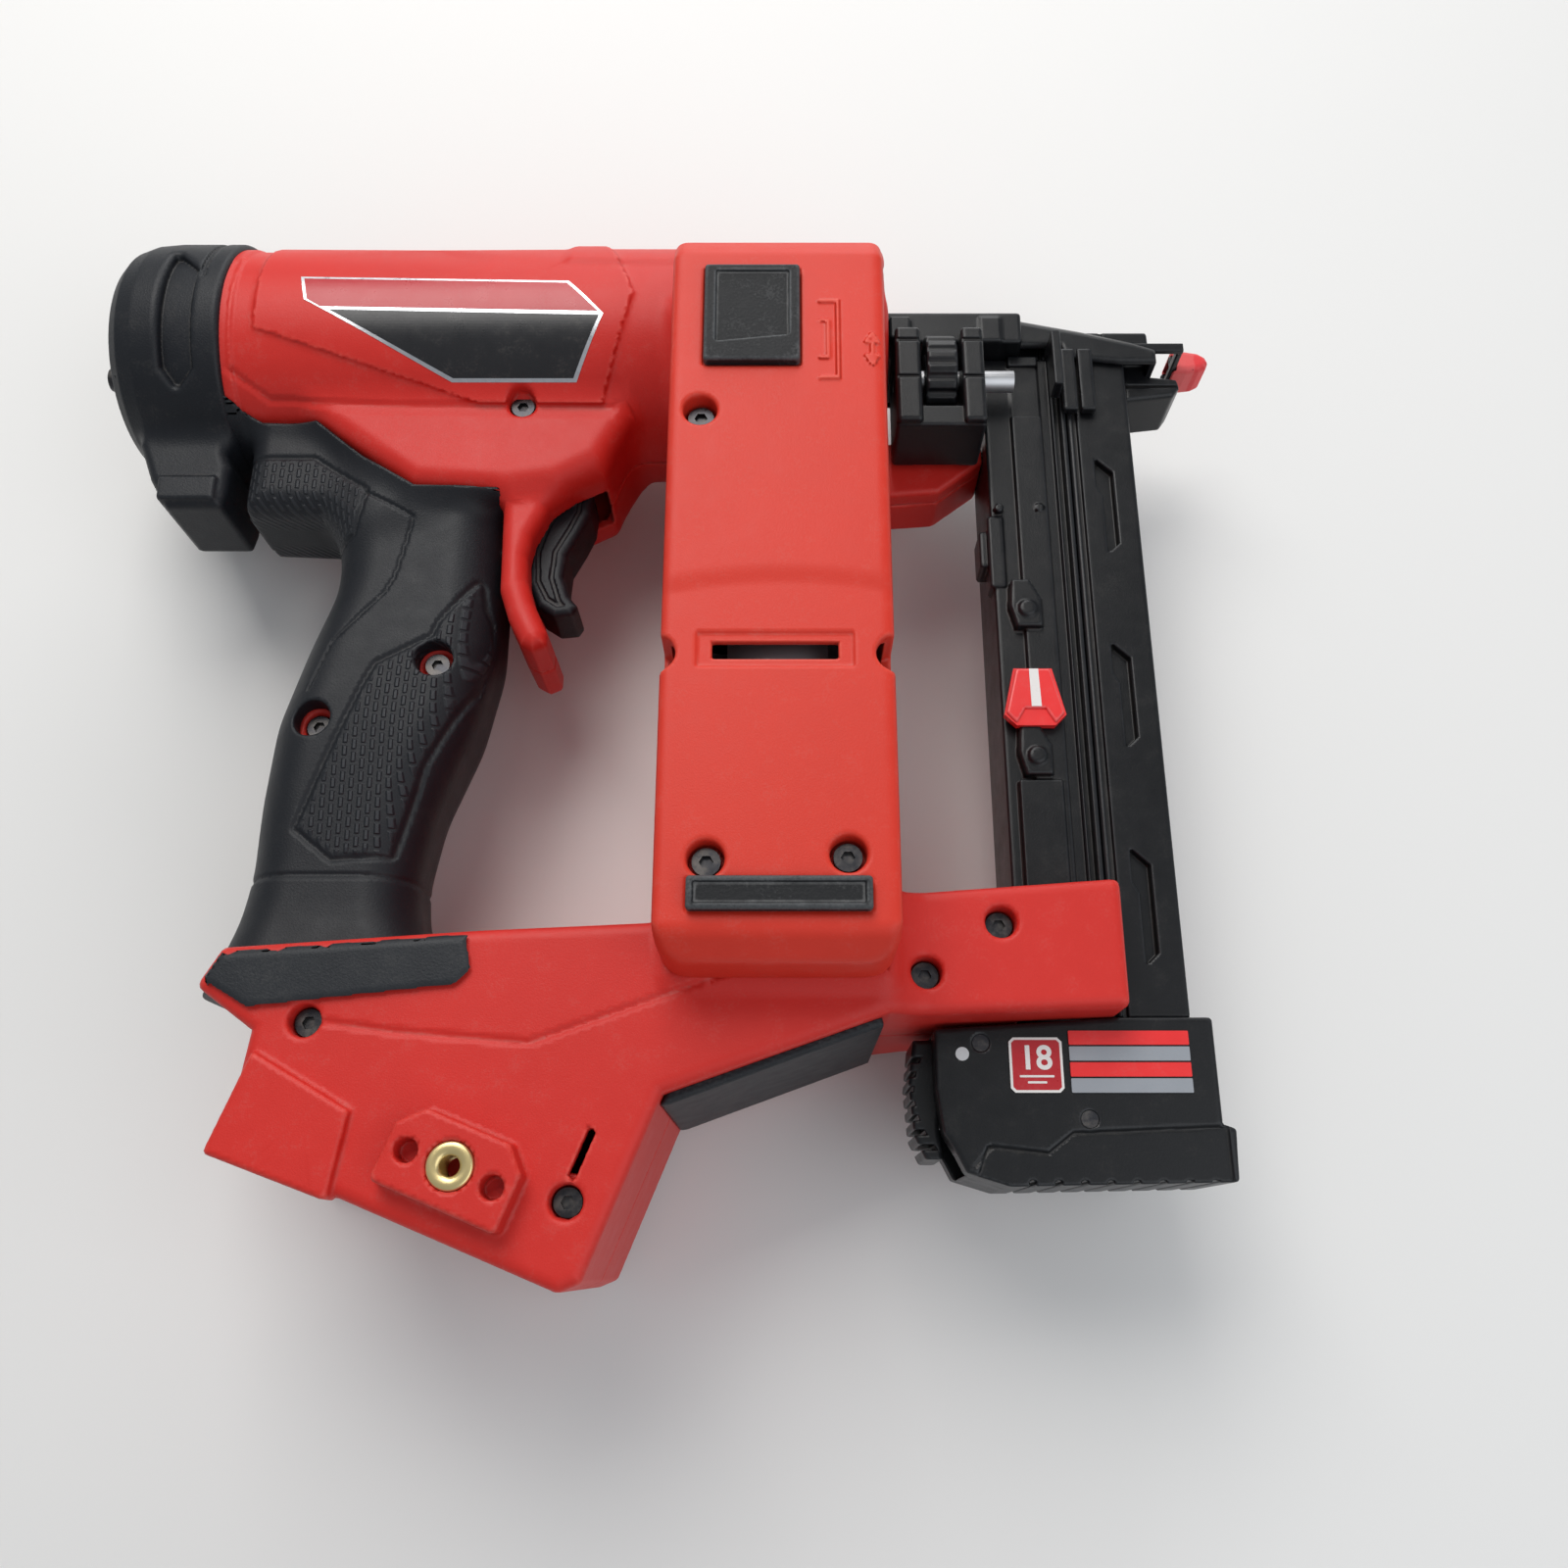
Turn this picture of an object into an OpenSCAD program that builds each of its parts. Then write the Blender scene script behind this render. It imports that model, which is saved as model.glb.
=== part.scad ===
// Cordless 18-gauge finish tool with a narrow-crown magazine, bare of its battery.
// Working frame: +X towards the nose, +Y towards the top of the barrel, +Z towards the right side.
// The drive axis is X at y = 0, z = 0; place() then moves the tool so that it lies on its left side.

/* [Overall] */
// rear face of the end cap, from the lifter station
rear_x = 194; // [180:1:220]
// furthest point of the no-mar tip
front_x = 126; // [118:1:135]
// drive axis down to the lowest corner of the foot
foot_drop = 259; // [240:1:280]
// mid-plane out to the left side of the gear column
left_side = 42; // [40:0.5:46]
// mid-plane out to the face of the gear cover
right_side = 60; // [58:0.5:64]

/* [Barrel] */
// outside radius of the red barrel
barrel_r = 33.5; // [32.5:0.5:36]
// wall of the barrel shell
barrel_wall = 3; // [2:0.5:4]
// outside radius of the end cap
cap_r = 35; // [34.5:0.5:38]
// length of the end cap over the gas chamber
cap_len = 37; // [34:1:46]
// front end of the red barrel
barrel_front = 28; // [26:1:34]
// distance of the label flat from the axis
label_flat = 31.9; // [31.6:0.1:33.4]
// tilt of the label flat below the side
label_tilt = 23; // [18:1:28]

/* [Gas spring] */
// bore radius of the drive cylinder
bore_r = 17.5; // [15:0.5:19]
// wall of the drive cylinder
bore_wall = 2.5; // [2:0.5:4]
// piston length
piston_len = 12; // [8:1:16]
// wall of the gas chamber
chamber_wall = 3; // [2:0.5:4]
// running clearance of the piston in its bore
piston_fit = 0.08; // [0.04:0.01:0.10]
// stroke of the driver
stroke = 60; // [50:1:60]

/* [Driver] */
// blade thickness
blade_t = 3; // [2.4:0.1:3.4]
// half width of the blade shank
shank_w = 5; // [4:0.5:6]
// half width of the driving tongue
tongue_w = 2.8; // [2.4:0.1:3]
// height of the rack edge above the axis
rack_z = 12; // [10:0.5:13]
// height of each rack tooth
tooth_h = 4.2; // [3.6:0.1:4.6]
// width of each rack tooth
tooth_w = 2.5; // [2:0.1:3]
// guide clearance round the blade
blade_gap = 0.4; // [0.3:0.05:0.6]

/* [Lifter] */
// circle the lifter rollers run on
lift_r = 12; // [11:0.5:13]
// roller radius
roller_r = 2.2; // [1.8:0.1:2.4]
// number of lifter rollers
roller_n = 6; // [5:1:6]
// space between a roller and the tooth it is about to meet
lift_gap = 0.7; // [0.5:0.05:0.9]

/* [Gearbox and motor] */
// gear module
gear_m = 0.8; // [0.6:0.05:1]
// teeth of the sun pinion
sun_n = 12; // [12:1:12]
// teeth of each planet
planet_n = 18; // [18:1:18]
// face width of the planets
planet_w = 8; // [6:0.5:10]
// running clearance of each planet on its pin
planet_fit = 0.08; // [0.04:0.01:0.10]
// outside radius of the motor and gear case
case_r = 24.8; // [24:0.1:25]
// motor length
motor_len = 58; // [50:1:62]
// rotor radius
rotor_r = 12.6; // [11:0.1:13]
// motor shaft radius
shaft_r = 2.5; // [2:0.1:3]
// running clearance of the shafts in their bearings
shaft_fit = 0.05; // [0.04:0.01:0.10]

/* [Column] */
// width of the gear column along the barrel
column_w = 55; // [54.5:0.5:58]
// wall of the column shells
column_wall = 2.6; // [2:0.1:2.7]
// lowest point of the gear cover
column_drop = 192; // [186:1:194]

/* [Handle and foot] */
// half width of the handle core
core_w = 14; // [13:0.5:15]
// half width of the foot
foot_w = 36; // [34:0.5:38]
// wall of the handle and foot shells
shell_wall = 3; // [2.5:0.25:3.5]
// tilt of the battery rails
rail_tilt = 22; // [18:1:26]
// outside radius of the brass hook bush
bush_r = 5.2; // [4.5:0.1:6]
// thread bore radius of the hook bush
bush_bore = 2.1; // [1.5:0.1:2.5]
// screw recess radius in the shells
recess_r = 3.6; // [3.2:0.1:4]

/* [Trigger] */
// half width of the trigger
trigger_w = 8; // [6:0.5:9]
// trigger pin radius
trigger_pin_r = 2; // [1.5:0.25:2.5]
// running clearance of the trigger on its pin
trigger_fit = 0.06; // [0.04:0.01:0.10]

/* [Nose] */
// half width of the steel nosepiece
nose_w = 12; // [11:0.5:13]
// working end of the fixed nosepiece
nose_end = 112; // [110:0.5:113]
// radius of the depth wheel
wheel_r = 12.4; // [11:0.1:12.6]
// thickness of the depth wheel
wheel_t = 8.6; // [7:0.1:9]
// depth stud radius
stud_r = 3; // [2.5:0.1:3.5]
// running clearance of the stud in the wheel and guides
stud_fit = 0.08; // [0.04:0.01:0.10]
// travel of the contact arm
contact_travel = 7; // [5:0.5:8]

/* [Magazine] */
// half width of the magazine walls
mag_w = 14; // [13:0.5:15]
// half width of the staple channel
channel_w = 3.4; // [3.2:0.1:3.8]
// half thickness of the steel magazine core
core_t = 1.5; // [1.2:0.1:1.6]
// rear edge of the fixed rail
mag_back = 57; // [55:0.5:59]
// parting line between fixed rail and sliding cover
mag_split = 80; // [79:0.5:82]
// front edge of the sliding cover
mag_front = 98; // [97:0.5:99]
// lower end of the magazine walls
mag_drop = 197; // [195:0.5:199]
// depth of the end block below the magazine
end_block_h = 38; // [34:1:42]
// gap between the sliding cover and the fixed parts
slide_gap = 0.35; // [0.3:0.05:0.5]

/* [Hidden] */
$fn = 48;
e = 0.01;
// station of the lifter along the barrel, and its distance to the right of the blade
lift_x = -1.5;
lift_z = rack_z + tooth_h + lift_r - 0.2;
bore_out = bore_r + bore_wall;
chamber_r = barrel_r - barrel_wall;
chamber_x0 = -rear_x + 9;
bulkhead_x = -94;
bulkhead_t = 8;
piston_x = -176;
column_x0 = lift_x - column_w / 2;
column_x1 = lift_x + column_w / 2;
case_top = -12;
case_low = -45;
motor_low = case_low - 1 - motor_len;
ring_n = sun_n + 2 * planet_n;
planet_d = gear_m * (sun_n + planet_n) / 2;
carrier_y = -20;
planet_y = -33.4;
narrow_x = 66;
tongue_x = 6;
tip_x = 54;
arm_x = 80;
arm_back = 75.4;
wheel_x = 39;
wheel_y = -19;
wheel_z = 20;
trigger_x = -60;
trigger_y = -50;
channel_x = 60;
shift = [(rear_x - front_x) / 2, (foot_drop - cap_r) / 2, left_side];

// ---- shared shapes -------------------------------------------------------------------------

// lays the tool on its left side, with the middle of its lowest face on the origin
module place() { translate(shift) children(); }

// outline in the side plane, from z0 to z1
module slab(z0, z1) { translate([0, 0, z0]) linear_extrude(z1 - z0) children(); }

// round bar along X
module bar_x(x0, x1, r, y = 0, z = 0) {
  translate([x0, y, z]) rotate([0, 90, 0]) cylinder(h = x1 - x0, r = r);
}

// round bar along Y
module bar_y(y0, y1, r, x = lift_x, z = lift_z) {
  translate([x, y0, z]) rotate([-90, 0, 0]) cylinder(h = y1 - y0, r = r);
}

// round bar along Z
module bar_z(z0, z1, r, x, y) { translate([x, y, z0]) cylinder(h = z1 - z0, r = r); }

// box from one corner to the other
module block(a, b) { translate(a) cube(b - a); }

// half space on one side of the parting plane, side = 1 right or -1 left
module side_half(side) { block([-260, -320, side > 0 ? 0 : -90], [180, 90, side > 0 ? 90 : 0]); }

// spur teeth round a wheel: a trapezoid for each tooth on a root disc
module gear_2d(n, turn = 0) {
  rp = gear_m * n / 2;
  pitch = PI * gear_m;
  circle(r = rp - 1.05 * gear_m);
  for (k = [0 : n - 1]) {
    rotate(turn + 360 * k / n)
      polygon([[rp - 1.25 * gear_m, -0.27 * pitch], [rp + 0.75 * gear_m, -0.1 * pitch],
        [rp + 0.75 * gear_m, 0.1 * pitch], [rp - 1.25 * gear_m, 0.27 * pitch]]);
  }
}

// coil of round rings standing for the turns of a small spring, along local Z
module coil(r, wire, turns, length) {
  step = (length - 2 * wire) / (turns - 1);
  for (k = [0 : turns - 1]) {
    translate([0, 0, wire + k * step]) rotate_extrude($fn = 32) translate([r, 0]) circle(r = wire, $fn = 12);
  }
  translate([r, 0, wire]) cylinder(h = length - 2 * wire, r = wire * 0.6, $fn = 12);
}

// cross-recess screw, head towards +Z, head top at the origin
module screw(head_r, length, shank_r) {
  difference() {
    union() {
      translate([0, 0, -2.4]) cylinder(h = 2.4, r = head_r);
      translate([0, 0, -length]) cylinder(h = length - 2, r = shank_r);
    }
    translate([0, 0, -1.2]) cylinder(h = 2, r = head_r * 0.5, $fn = 6);
  }
}

// ---- outlines in the side plane ------------------------------------------------------------

// handle core with the trigger mount in front of it
module handle_2d() {
  polygon([[-118, -20], [-119, -62], [-118, -78], [-123, -96], [-128, -112], [-130, -130], [-131, -160],
    [-131, -190], [-92, -190], [-96, -168], [-97, -156], [-94, -142], [-88, -124], [-81, -108],
    [-74, -98], [-66, -93], [-66, -86], [-71, -72], [-72, -58], [-66, -56], [-54, -54], [-51, -44],
    [-50, -20]]);
}

// hollow of the handle inside its walls
module handle_hollow_2d() {
  polygon([[-115, -30], [-115, -78], [-120, -96], [-125, -112], [-127, -130], [-128, -186], [-96, -186],
    [-100, -168], [-100, -156], [-97, -142], [-91, -124], [-84, -108], [-80, -98], [-80, -40],
    [-80, -30]]);
}

// foot with its forward arm to the magazine
module foot_2d() {
  polygon([[-134, -193], [-129, -184], [-71, -180], [-28, -178], [column_x1, -170], [arm_x, -166],
    [arm_x, -197], [24, -199], [-27, -217], [-43, -257], [-48, -foot_drop], [-97, -239], [-123, -228],
    [-120, -203]]);
}

// hollow of the foot inside its walls
module foot_hollow_2d() {
  polygon([[-127, -190], [-66, -184], [-28, -181], [column_x1 - 3, -176], [45, -174], [45, -191],
    [22, -195], [-30, -213], [-45, -250], [-97, -226], [-116, -212], [-116, -200]]);
}

// column between the barrel and the foot
module column_2d(inset = 0) {
  polygon([[column_x0 + inset, -10], [column_x1 - inset, -10],
    [column_x1 - inset, -column_drop + 12 + inset], [column_x1 - 6 - inset, -column_drop + 2 + inset],
    [column_x0 + 6 + inset, -column_drop + inset], [column_x0 + inset, -column_drop + 6 + inset]]);
}

// screw stations of the two housing halves
housing_screw_at = [[-73, -27, 24], [-92, -103, 17], [-122, -120, 15], [-108, -201, 36], [-47, -240, 36],
  [51, -177, 30], [33, -189, 30]];

// ---- shells --------------------------------------------------------------------------------

// barrel, handle, foot and column as one outside shape
module shell_outside() {
  difference() {
    bar_x(-rear_x + cap_len, barrel_front, barrel_r);
    // flat that carries the label, one on each side
    for (s = [-1, 1]) {
      rotate([s * label_tilt, 0, 0])
        translate([-133, -20, s > 0 ? label_flat : -label_flat - 10]) cube([84, 40, 10]);
    }
  }
  slab(-core_w, core_w) handle_2d();
  slab(-foot_w, foot_w) foot_2d();
  slab(-left_side, foot_w) intersection() {
    column_2d();
    translate([-60, -200]) square([120, 190]);
  }
  // gusset that steadies the top of the magazine rail
  slab(-mag_w, 6) polygon([[column_x1 - 4, -20], [mag_back, -22], [mag_back, -36], [44, -46],
    [column_x1 - 4, -48]]);
  // raised seats of the hook bushes
  for (s = [-1, 1]) {
    translate([-71, -233, s > 0 ? foot_w - 1 : -left_side])
      linear_extrude(left_side - foot_w + 1) rotate(-rail_tilt)
        polygon([[-15, 4], [-10, 9], [10, 9], [15, 4], [15, -9], [-15, -9]]);
  }
}

// everything hollowed out of the shells
module shell_inside() {
  bar_x(-rear_x, barrel_front + 1, chamber_r);
  slab(-core_w + shell_wall, core_w - shell_wall) handle_hollow_2d();
  slab(-foot_w + shell_wall, foot_w - shell_wall) foot_hollow_2d();
  // motor well, open to the right under the gear cover
  slab(-left_side + shell_wall, foot_w + 1) intersection() {
    column_2d(column_wall);
    translate([-60, -187]) square([120, 187 - barrel_r]);
  }
  bar_y(-186, -10, case_r);
  // swing of the lifter
  bar_y(-11, 7, lift_r + roller_r + 2);
  // battery bay, open to the rear and below
  translate([-48, -foot_drop, 0]) rotate(-rail_tilt)
    block([-92, -6, -foot_w + 5], [-14, 13, foot_w - 5]);
  // trigger pocket and its swing
  block([-80, -98, -trigger_w - 0.6], [-50, -40, trigger_w + 0.6]);
  bar_z(-core_w - 1, core_w + 1, trigger_pin_r, trigger_x, trigger_y);
  // seat of the terminal block
  rail_frame() block([-62, 12, -24], [-34, 22, 24]);
  // bore of the hook bushes
  bar_z(-left_side - 1, left_side + 1, bush_r, -71, -233);
  // magazine socket in the arm
  block([mag_back, -mag_drop - 4, -mag_w], [arm_x + 1, -160, mag_w]);
}

// one housing half, side = 1 right or -1 left
module housing_half(side) {
  difference() {
    union() {
      difference() {
        intersection() {
          shell_outside();
          side_half(side);
        }
        shell_inside();
      }
      // bosses the housing screws draw together
      for (p = housing_screw_at) {
        if (p.z > 29) bar_z(side > 0 ? 0 : -p.z + 1, side > 0 ? p.z - 1 : 0, recess_r + 1.4, p.x, p.y);
      }
    }
    for (p = housing_screw_at) {
      bar_z(side > 0 ? p.z - 7 : -p.z - 8, side > 0 ? p.z + 20 : -p.z + 4, recess_r, p.x, p.y);
      bar_z(-p.z - 1, p.z + 1, 1.7, p.x, p.y);
    }
  }
}

module housing_left() { color("crimson") housing_half(-1); }

module housing_right() { color("red") housing_half(1); }

// side profile of the gear cover: flat face, slope up over the barrel, chamfer at the foot
module cover_profile() {
  translate([column_x0 - 1, 0, 0]) rotate([90, 0, 90]) linear_extrude(column_w + 2)
    polygon([[-column_drop, foot_w], [-column_drop, right_side - 8], [-column_drop + 7, right_side],
      [-9, right_side], [-2, right_side - 3], [26, 24], [31, 14], [-10, 14], [-10, foot_w]]);
}

// hollow of the gear cover
module cover_hollow() {
  translate([column_x0 + column_wall, 0, 0]) rotate([90, 0, 90]) linear_extrude(column_w - 2 * column_wall)
    polygon([[-column_drop + 4, foot_w - 1], [-column_drop + 4, right_side - 9],
      [-column_drop + 9, right_side - column_wall], [-12, right_side - column_wall], [-6, right_side - 6],
      [9, 41], [9, 22], [-10, 22], [-10, foot_w - 1]]);
}

// outline of the gear cover, rounded at its four corners
module cover_2d() {
  polygon([[column_x0 + 5, 32], [column_x1 - 5, 32], [column_x1, 26],
    [column_x1, -column_drop + 12], [column_x1 - 6, -column_drop + 2], [column_x0 + 6, -column_drop],
    [column_x0, -column_drop + 6], [column_x0, 26]]);
}

// screw stations of the gear cover face
cover_screw_at = [[-20.5, -56, 9], [-17, -170, 18], [14, -169, 18]];

module gear_cover() {
  color("orangered") difference() {
    union() {
      difference() {
        intersection() {
          cover_profile();
          slab(10, right_side) cover_2d();
        }
        cover_hollow();
      }
      for (p = cover_screw_at) bar_z(right_side - p.z - 2, right_side - 1, recess_r + 1.2, p.x, p.y);
    }
    // saddle over the barrel
    bar_x(-60, 60, barrel_r);
    bar_x(-60, 60, chamber_r, -6, 0);
    // cooling slot in its shallow recess
    block([-17, -122, right_side - 4], [13, -118.4, right_side + 1]);
    block([-20, -124.5, right_side - 0.8], [16, -116, right_side + 1]);
    for (p = cover_screw_at) {
      bar_z(right_side - 7, right_side + 1, recess_r, p.x, p.y);
      bar_z(foot_w - 1, right_side, 1.7, p.x, p.y);
    }
    // seats of the two rubber pads
    block([-20, -43, right_side - 0.8], [4, -14, right_side + 1]);
    block([-21, -182, right_side - 0.8], [19, -174.5, right_side + 1]);
    bar_y(-180, -10, case_r);
  }
}

// soft grip: rounded sections down the handle, cut out for the core
grip_at = [[-121, -77, -52, 17], [-122, -77, -80, 17], [-128, -77, -98, 17.5], [-134, -82, -120, 18],
  [-135.5, -90, -142, 17], [-135.5, -93, -160, 16.5], [-140, -86, -184, 20]];

module grip_section(s) {
  for (x = [s[0] + 10, s[1] - 10], z = [s[3] - 10, 10 - s[3]])
    translate([x, s[2], z]) rotate([90, 0, 0]) cylinder(h = 0.5, r = 10, $fn = 32);
}

module grip_overmold() {
  color("dimgray") difference() {
    union() {
      for (k = [0 : len(grip_at) - 2]) {
        hull() {
          grip_section(grip_at[k]);
          grip_section(grip_at[k + 1]);
        }
      }
      // web behind the hand
      slab(-15, 15) polygon([[-150, -26], [-150, -57], [-128, -58], [-118, -66], [-100, -60], [-100, -30]]);
      // skin on the lower rear of the barrel
      intersection() {
        bar_x(-rear_x + cap_len, -100, barrel_r + 1);
        slab(-40, 40) polygon([[-158, -24.5], [-143, -31], [-128, -31], [-101, -34], [-101, -45],
          [-158, -45]]);
      }
    }
    bar_x(-200, 0, barrel_r);
    slab(-core_w, core_w) handle_2d();
    slab(-60, 60) foot_2d();
    for (p = [housing_screw_at[1], housing_screw_at[2]]) bar_z(-40, 40, recess_r, p.x, p.y);
  }
}

module foot_overmold() {
  color("dimgray") for (s = [0, 1]) mirror([0, 0, s])
    slab(foot_w, foot_w + 1.2) polygon([[-132, -192], [-128, -185], [-72, -181], [-70, -190], [-74, -194],
      [-121, -199]]);
}

module end_cap() {
  color("dimgray") difference() {
    union() {
      rotate([0, 90, 0]) rotate([0, 0, 90]) rotate_extrude($fn = 96)
        polygon([[0, -rear_x], [24, -rear_x], [33, -rear_x + 6], [cap_r, -rear_x + 16],
          [cap_r, -rear_x + cap_len], [0, -rear_x + cap_len]]);
      // bumper foot under the cap
      slab(-16, 16) polygon([[-182, -30], [-181, -44], [-171, -57], [-162, -62], [-150.4, -62],
        [-150.4, -54], [-157, -44], [-157, -30]]);
    }
    bar_x(chamber_x0, -100, chamber_r);
    bar_x(-rear_x + 3, chamber_x0 + 1, 6);
    bar_x(-rear_x + cap_len, -100, barrel_r + 1.1);
    for (a = [45 : 90 : 315]) rotate([a, 0, 0]) bar_x(-rear_x - 1, -rear_x + 4, 3.3, 20, 0);
    for (a = [45 : 90 : 315]) rotate([a, 0, 0]) bar_x(-rear_x, chamber_x0 + 1, 1.7, 20, 0);
  }
}

module housing_screws() {
  color("silver") {
    for (p = housing_screw_at) translate([p.x, p.y, p.z - 4.6]) screw(3.2, p.z > 29 ? 30 : 12, 1.7);
  }
}

module cover_screws() {
  color("silver") for (p = cover_screw_at) translate([p.x, p.y, right_side - 4.6]) screw(3.2, p.z, 1.7);
}

module cap_screws() {
  color("silver") for (a = [45 : 90 : 315]) {
    rotate([a, 0, 0]) translate([-rear_x + 1.6, 20, 0]) rotate([0, -90, 0]) screw(3.2, 7, 1.7);
  }
}

module rubber_pad_upper() {
  color("black") difference() {
    block([-20, -43, right_side - 0.8], [4, -14, right_side + 1.8]);
    block([-17, -34, right_side + 0.6], [1, -17, right_side + 3]);
  }
}

module rubber_pad_lower() {
  color("black") block([-21, -182, right_side - 0.8], [19, -174.5, right_side + 1.6]);
}

module label_plate() {
  color("lightgray") rotate([label_tilt, 0, 0])
    translate([0, 0, label_flat]) linear_extrude(0.4)
      polygon([[-130, 12], [-62, 12], [-51, 5], [-56, -8], [-82, -8], [-131, 6]]);
}

module hook_bushes() {
  color("gold") for (s = [0, 1]) mirror([0, 0, s]) difference() {
    bar_z(left_side - 9, left_side, bush_r, -71, -233);
    bar_z(left_side - 10, left_side + 1, bush_bore, -71, -233);
  }
}

// battery rail frame: origin at the front lower corner of the foot, X along the rails
module rail_frame() { translate([-48, -foot_drop, 0]) rotate(-rail_tilt) children(); }

module terminal_block() {
  color("darkgray") rail_frame() difference() {
    block([-62, 13, -24], [-34, 22, 24]);
    for (z = [-18, -6, 6, 18]) block([-58, 12, z - 0.6], [-40, 20, z + 0.6]);
  }
}

module terminal_blades() {
  color("goldenrod") rail_frame() for (z = [-18, -6, 6, 18]) block([-58, 3, z - 0.6], [-40, 20, z + 0.6]);
}

module control_board() {
  color("green") {
    block([lift_x - case_r, -180, 4], [lift_x + case_r, -134, 5.8]);
    block([-20, -176, 5.8], [-4, -160, 12]);
    bar_z(5.8, 20, 6, 10, -166);
    block([-18, -154, 5.8], [14, -142, 8.5]);
  }
}

module trigger_switch() {
  color("gray") {
    block([-98, -92, -core_w + shell_wall], [-80.8, -60, core_w - shell_wall]);
    bar_x(-81, -77, 2.2, -76, 0);
  }
}

// ---- gas spring ----------------------------------------------------------------------------

module gas_chamber() {
  color("silver") difference() {
    bar_x(chamber_x0, bulkhead_x, chamber_r);
    bar_x(chamber_x0 + 5, bulkhead_x + 1, chamber_r - chamber_wall);
    bar_x(chamber_x0 - 1, chamber_x0 + 6, 4);
  }
}

module drive_cylinder() {
  color("gainsboro") difference() {
    bar_x(piston_x - 2, bulkhead_x, bore_out);
    bar_x(piston_x - 3, bulkhead_x + 1, bore_r);
  }
}

module chamber_bulkhead() {
  color("silver") difference() {
    bar_x(bulkhead_x, bulkhead_x + bulkhead_t, chamber_r);
    bar_x(bulkhead_x - 1, bulkhead_x + bulkhead_t + 1, shank_w + 1.4);
  }
}

module fill_valve() {
  color("goldenrod") {
    bar_x(chamber_x0 - 2, chamber_x0 + 8, 4);
    bar_x(chamber_x0 - 4, chamber_x0 - 1, 2);
  }
}

module piston_bumper() {
  color("orange") difference() {
    bar_x(bulkhead_x - 9, bulkhead_x, bore_r);
    bar_x(bulkhead_x - 10, bulkhead_x + 1, shank_w + 2.4);
  }
}

// grooves that hold the two piston rings
module ring_groove(x) {
  difference() {
    bar_x(x, x + 2, bore_r + 1);
    bar_x(x - 1, x + 3, bore_r - 2.2);
  }
}

module piston() {
  color("slategray") difference() {
    bar_x(piston_x, piston_x + piston_len, bore_r - piston_fit);
    ring_groove(piston_x + 2);
    ring_groove(piston_x + 7);
    bar_x(piston_x - 1, piston_x + 1.2, 9);
    block([piston_x + 4, -blade_t / 2, -shank_w], [piston_x + piston_len + 1, blade_t / 2, shank_w]);
  }
}

module piston_rings() {
  color("black") for (x = [piston_x + 2, piston_x + 7]) difference() {
    bar_x(x, x + 2, bore_r - piston_fit);
    bar_x(x - 1, x + 3, bore_r - 2.2);
  }
}

// spacing of the rack teeth and of the rollers that meet them
tooth_step = stroke / (roller_n - 1);

module driver_blade() {
  back = lift_x - stroke - roller_r - tooth_w / 2 - lift_gap;
  color("silver") {
    difference() {
      union() {
        block([piston_x + 4, -blade_t / 2, -shank_w], [back - 6, blade_t / 2, shank_w]);
        block([back - 6, -blade_t / 2, -shank_w], [tongue_x, blade_t / 2, rack_z]);
      }
      for (k = [0 : 3]) bar_y(-blade_t, blade_t, 2.2, back + 8 + 14 * k, 4);
    }
    block([tongue_x, -blade_t / 2, -tongue_w], [tip_x, blade_t / 2, tongue_w]);
    for (k = [0 : roller_n - 1]) translate([back + k * tooth_step, 0, rack_z])
      rotate([90, 0, 0]) linear_extrude(blade_t, center = true)
        polygon([[-tooth_w, 0], [-tooth_w / 2, tooth_h], [tooth_w / 2, tooth_h], [tooth_w / 2, 0]]);
  }
}

// ---- lifter and gearbox --------------------------------------------------------------------

// runs its children at each roller station of the lifter
module at_rollers() {
  for (k = [0 : roller_n - 1]) {
    turn = -k * tooth_step / lift_r * 180 / PI;
    translate([lift_x + lift_r * sin(turn), 0, lift_z - lift_r * cos(turn)]) children();
  }
}

module lifter_wheel() {
  color("slategray") {
    difference() {
      bar_y(-9, -4.2, lift_r + roller_r + 0.8);
      bar_y(-10, -4, 5);
    }
    at_rollers() bar_y(-5, 4.4, 1.2, 0, 0);
  }
}

module lifter_rollers() {
  color("silver") at_rollers() difference() {
    bar_y(-4.2, 3.6, roller_r, 0, 0);
    bar_y(-5, 5, 1.2, 0, 0);
  }
}

module planet_carrier() {
  color("gray") {
    bar_y(carrier_y - 4, carrier_y, planet_d + 4.5);
    bar_y(carrier_y, -4.2, 5);
    for (k = [0 : 2]) translate([lift_x, 0, lift_z]) rotate([0, 120 * k, 0])
      bar_y(planet_y - 0.6, carrier_y - 4, 2, planet_d, 0);
  }
}

// planet k of the three, with its bore running on the carrier pin
module planet_gear(k) {
  color("silver") translate([lift_x, planet_y, lift_z]) rotate([0, 120 * k, 0]) translate([planet_d, 0, 0])
    rotate([-90, 0, 0]) linear_extrude(planet_w) difference() {
      gear_2d(planet_n, 180 / planet_n);
      circle(r = 2 + planet_fit);
    }
}

module planet_gear_1() { planet_gear(0); }

module planet_gear_2() { planet_gear(1); }

module planet_gear_3() { planet_gear(2); }

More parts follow.
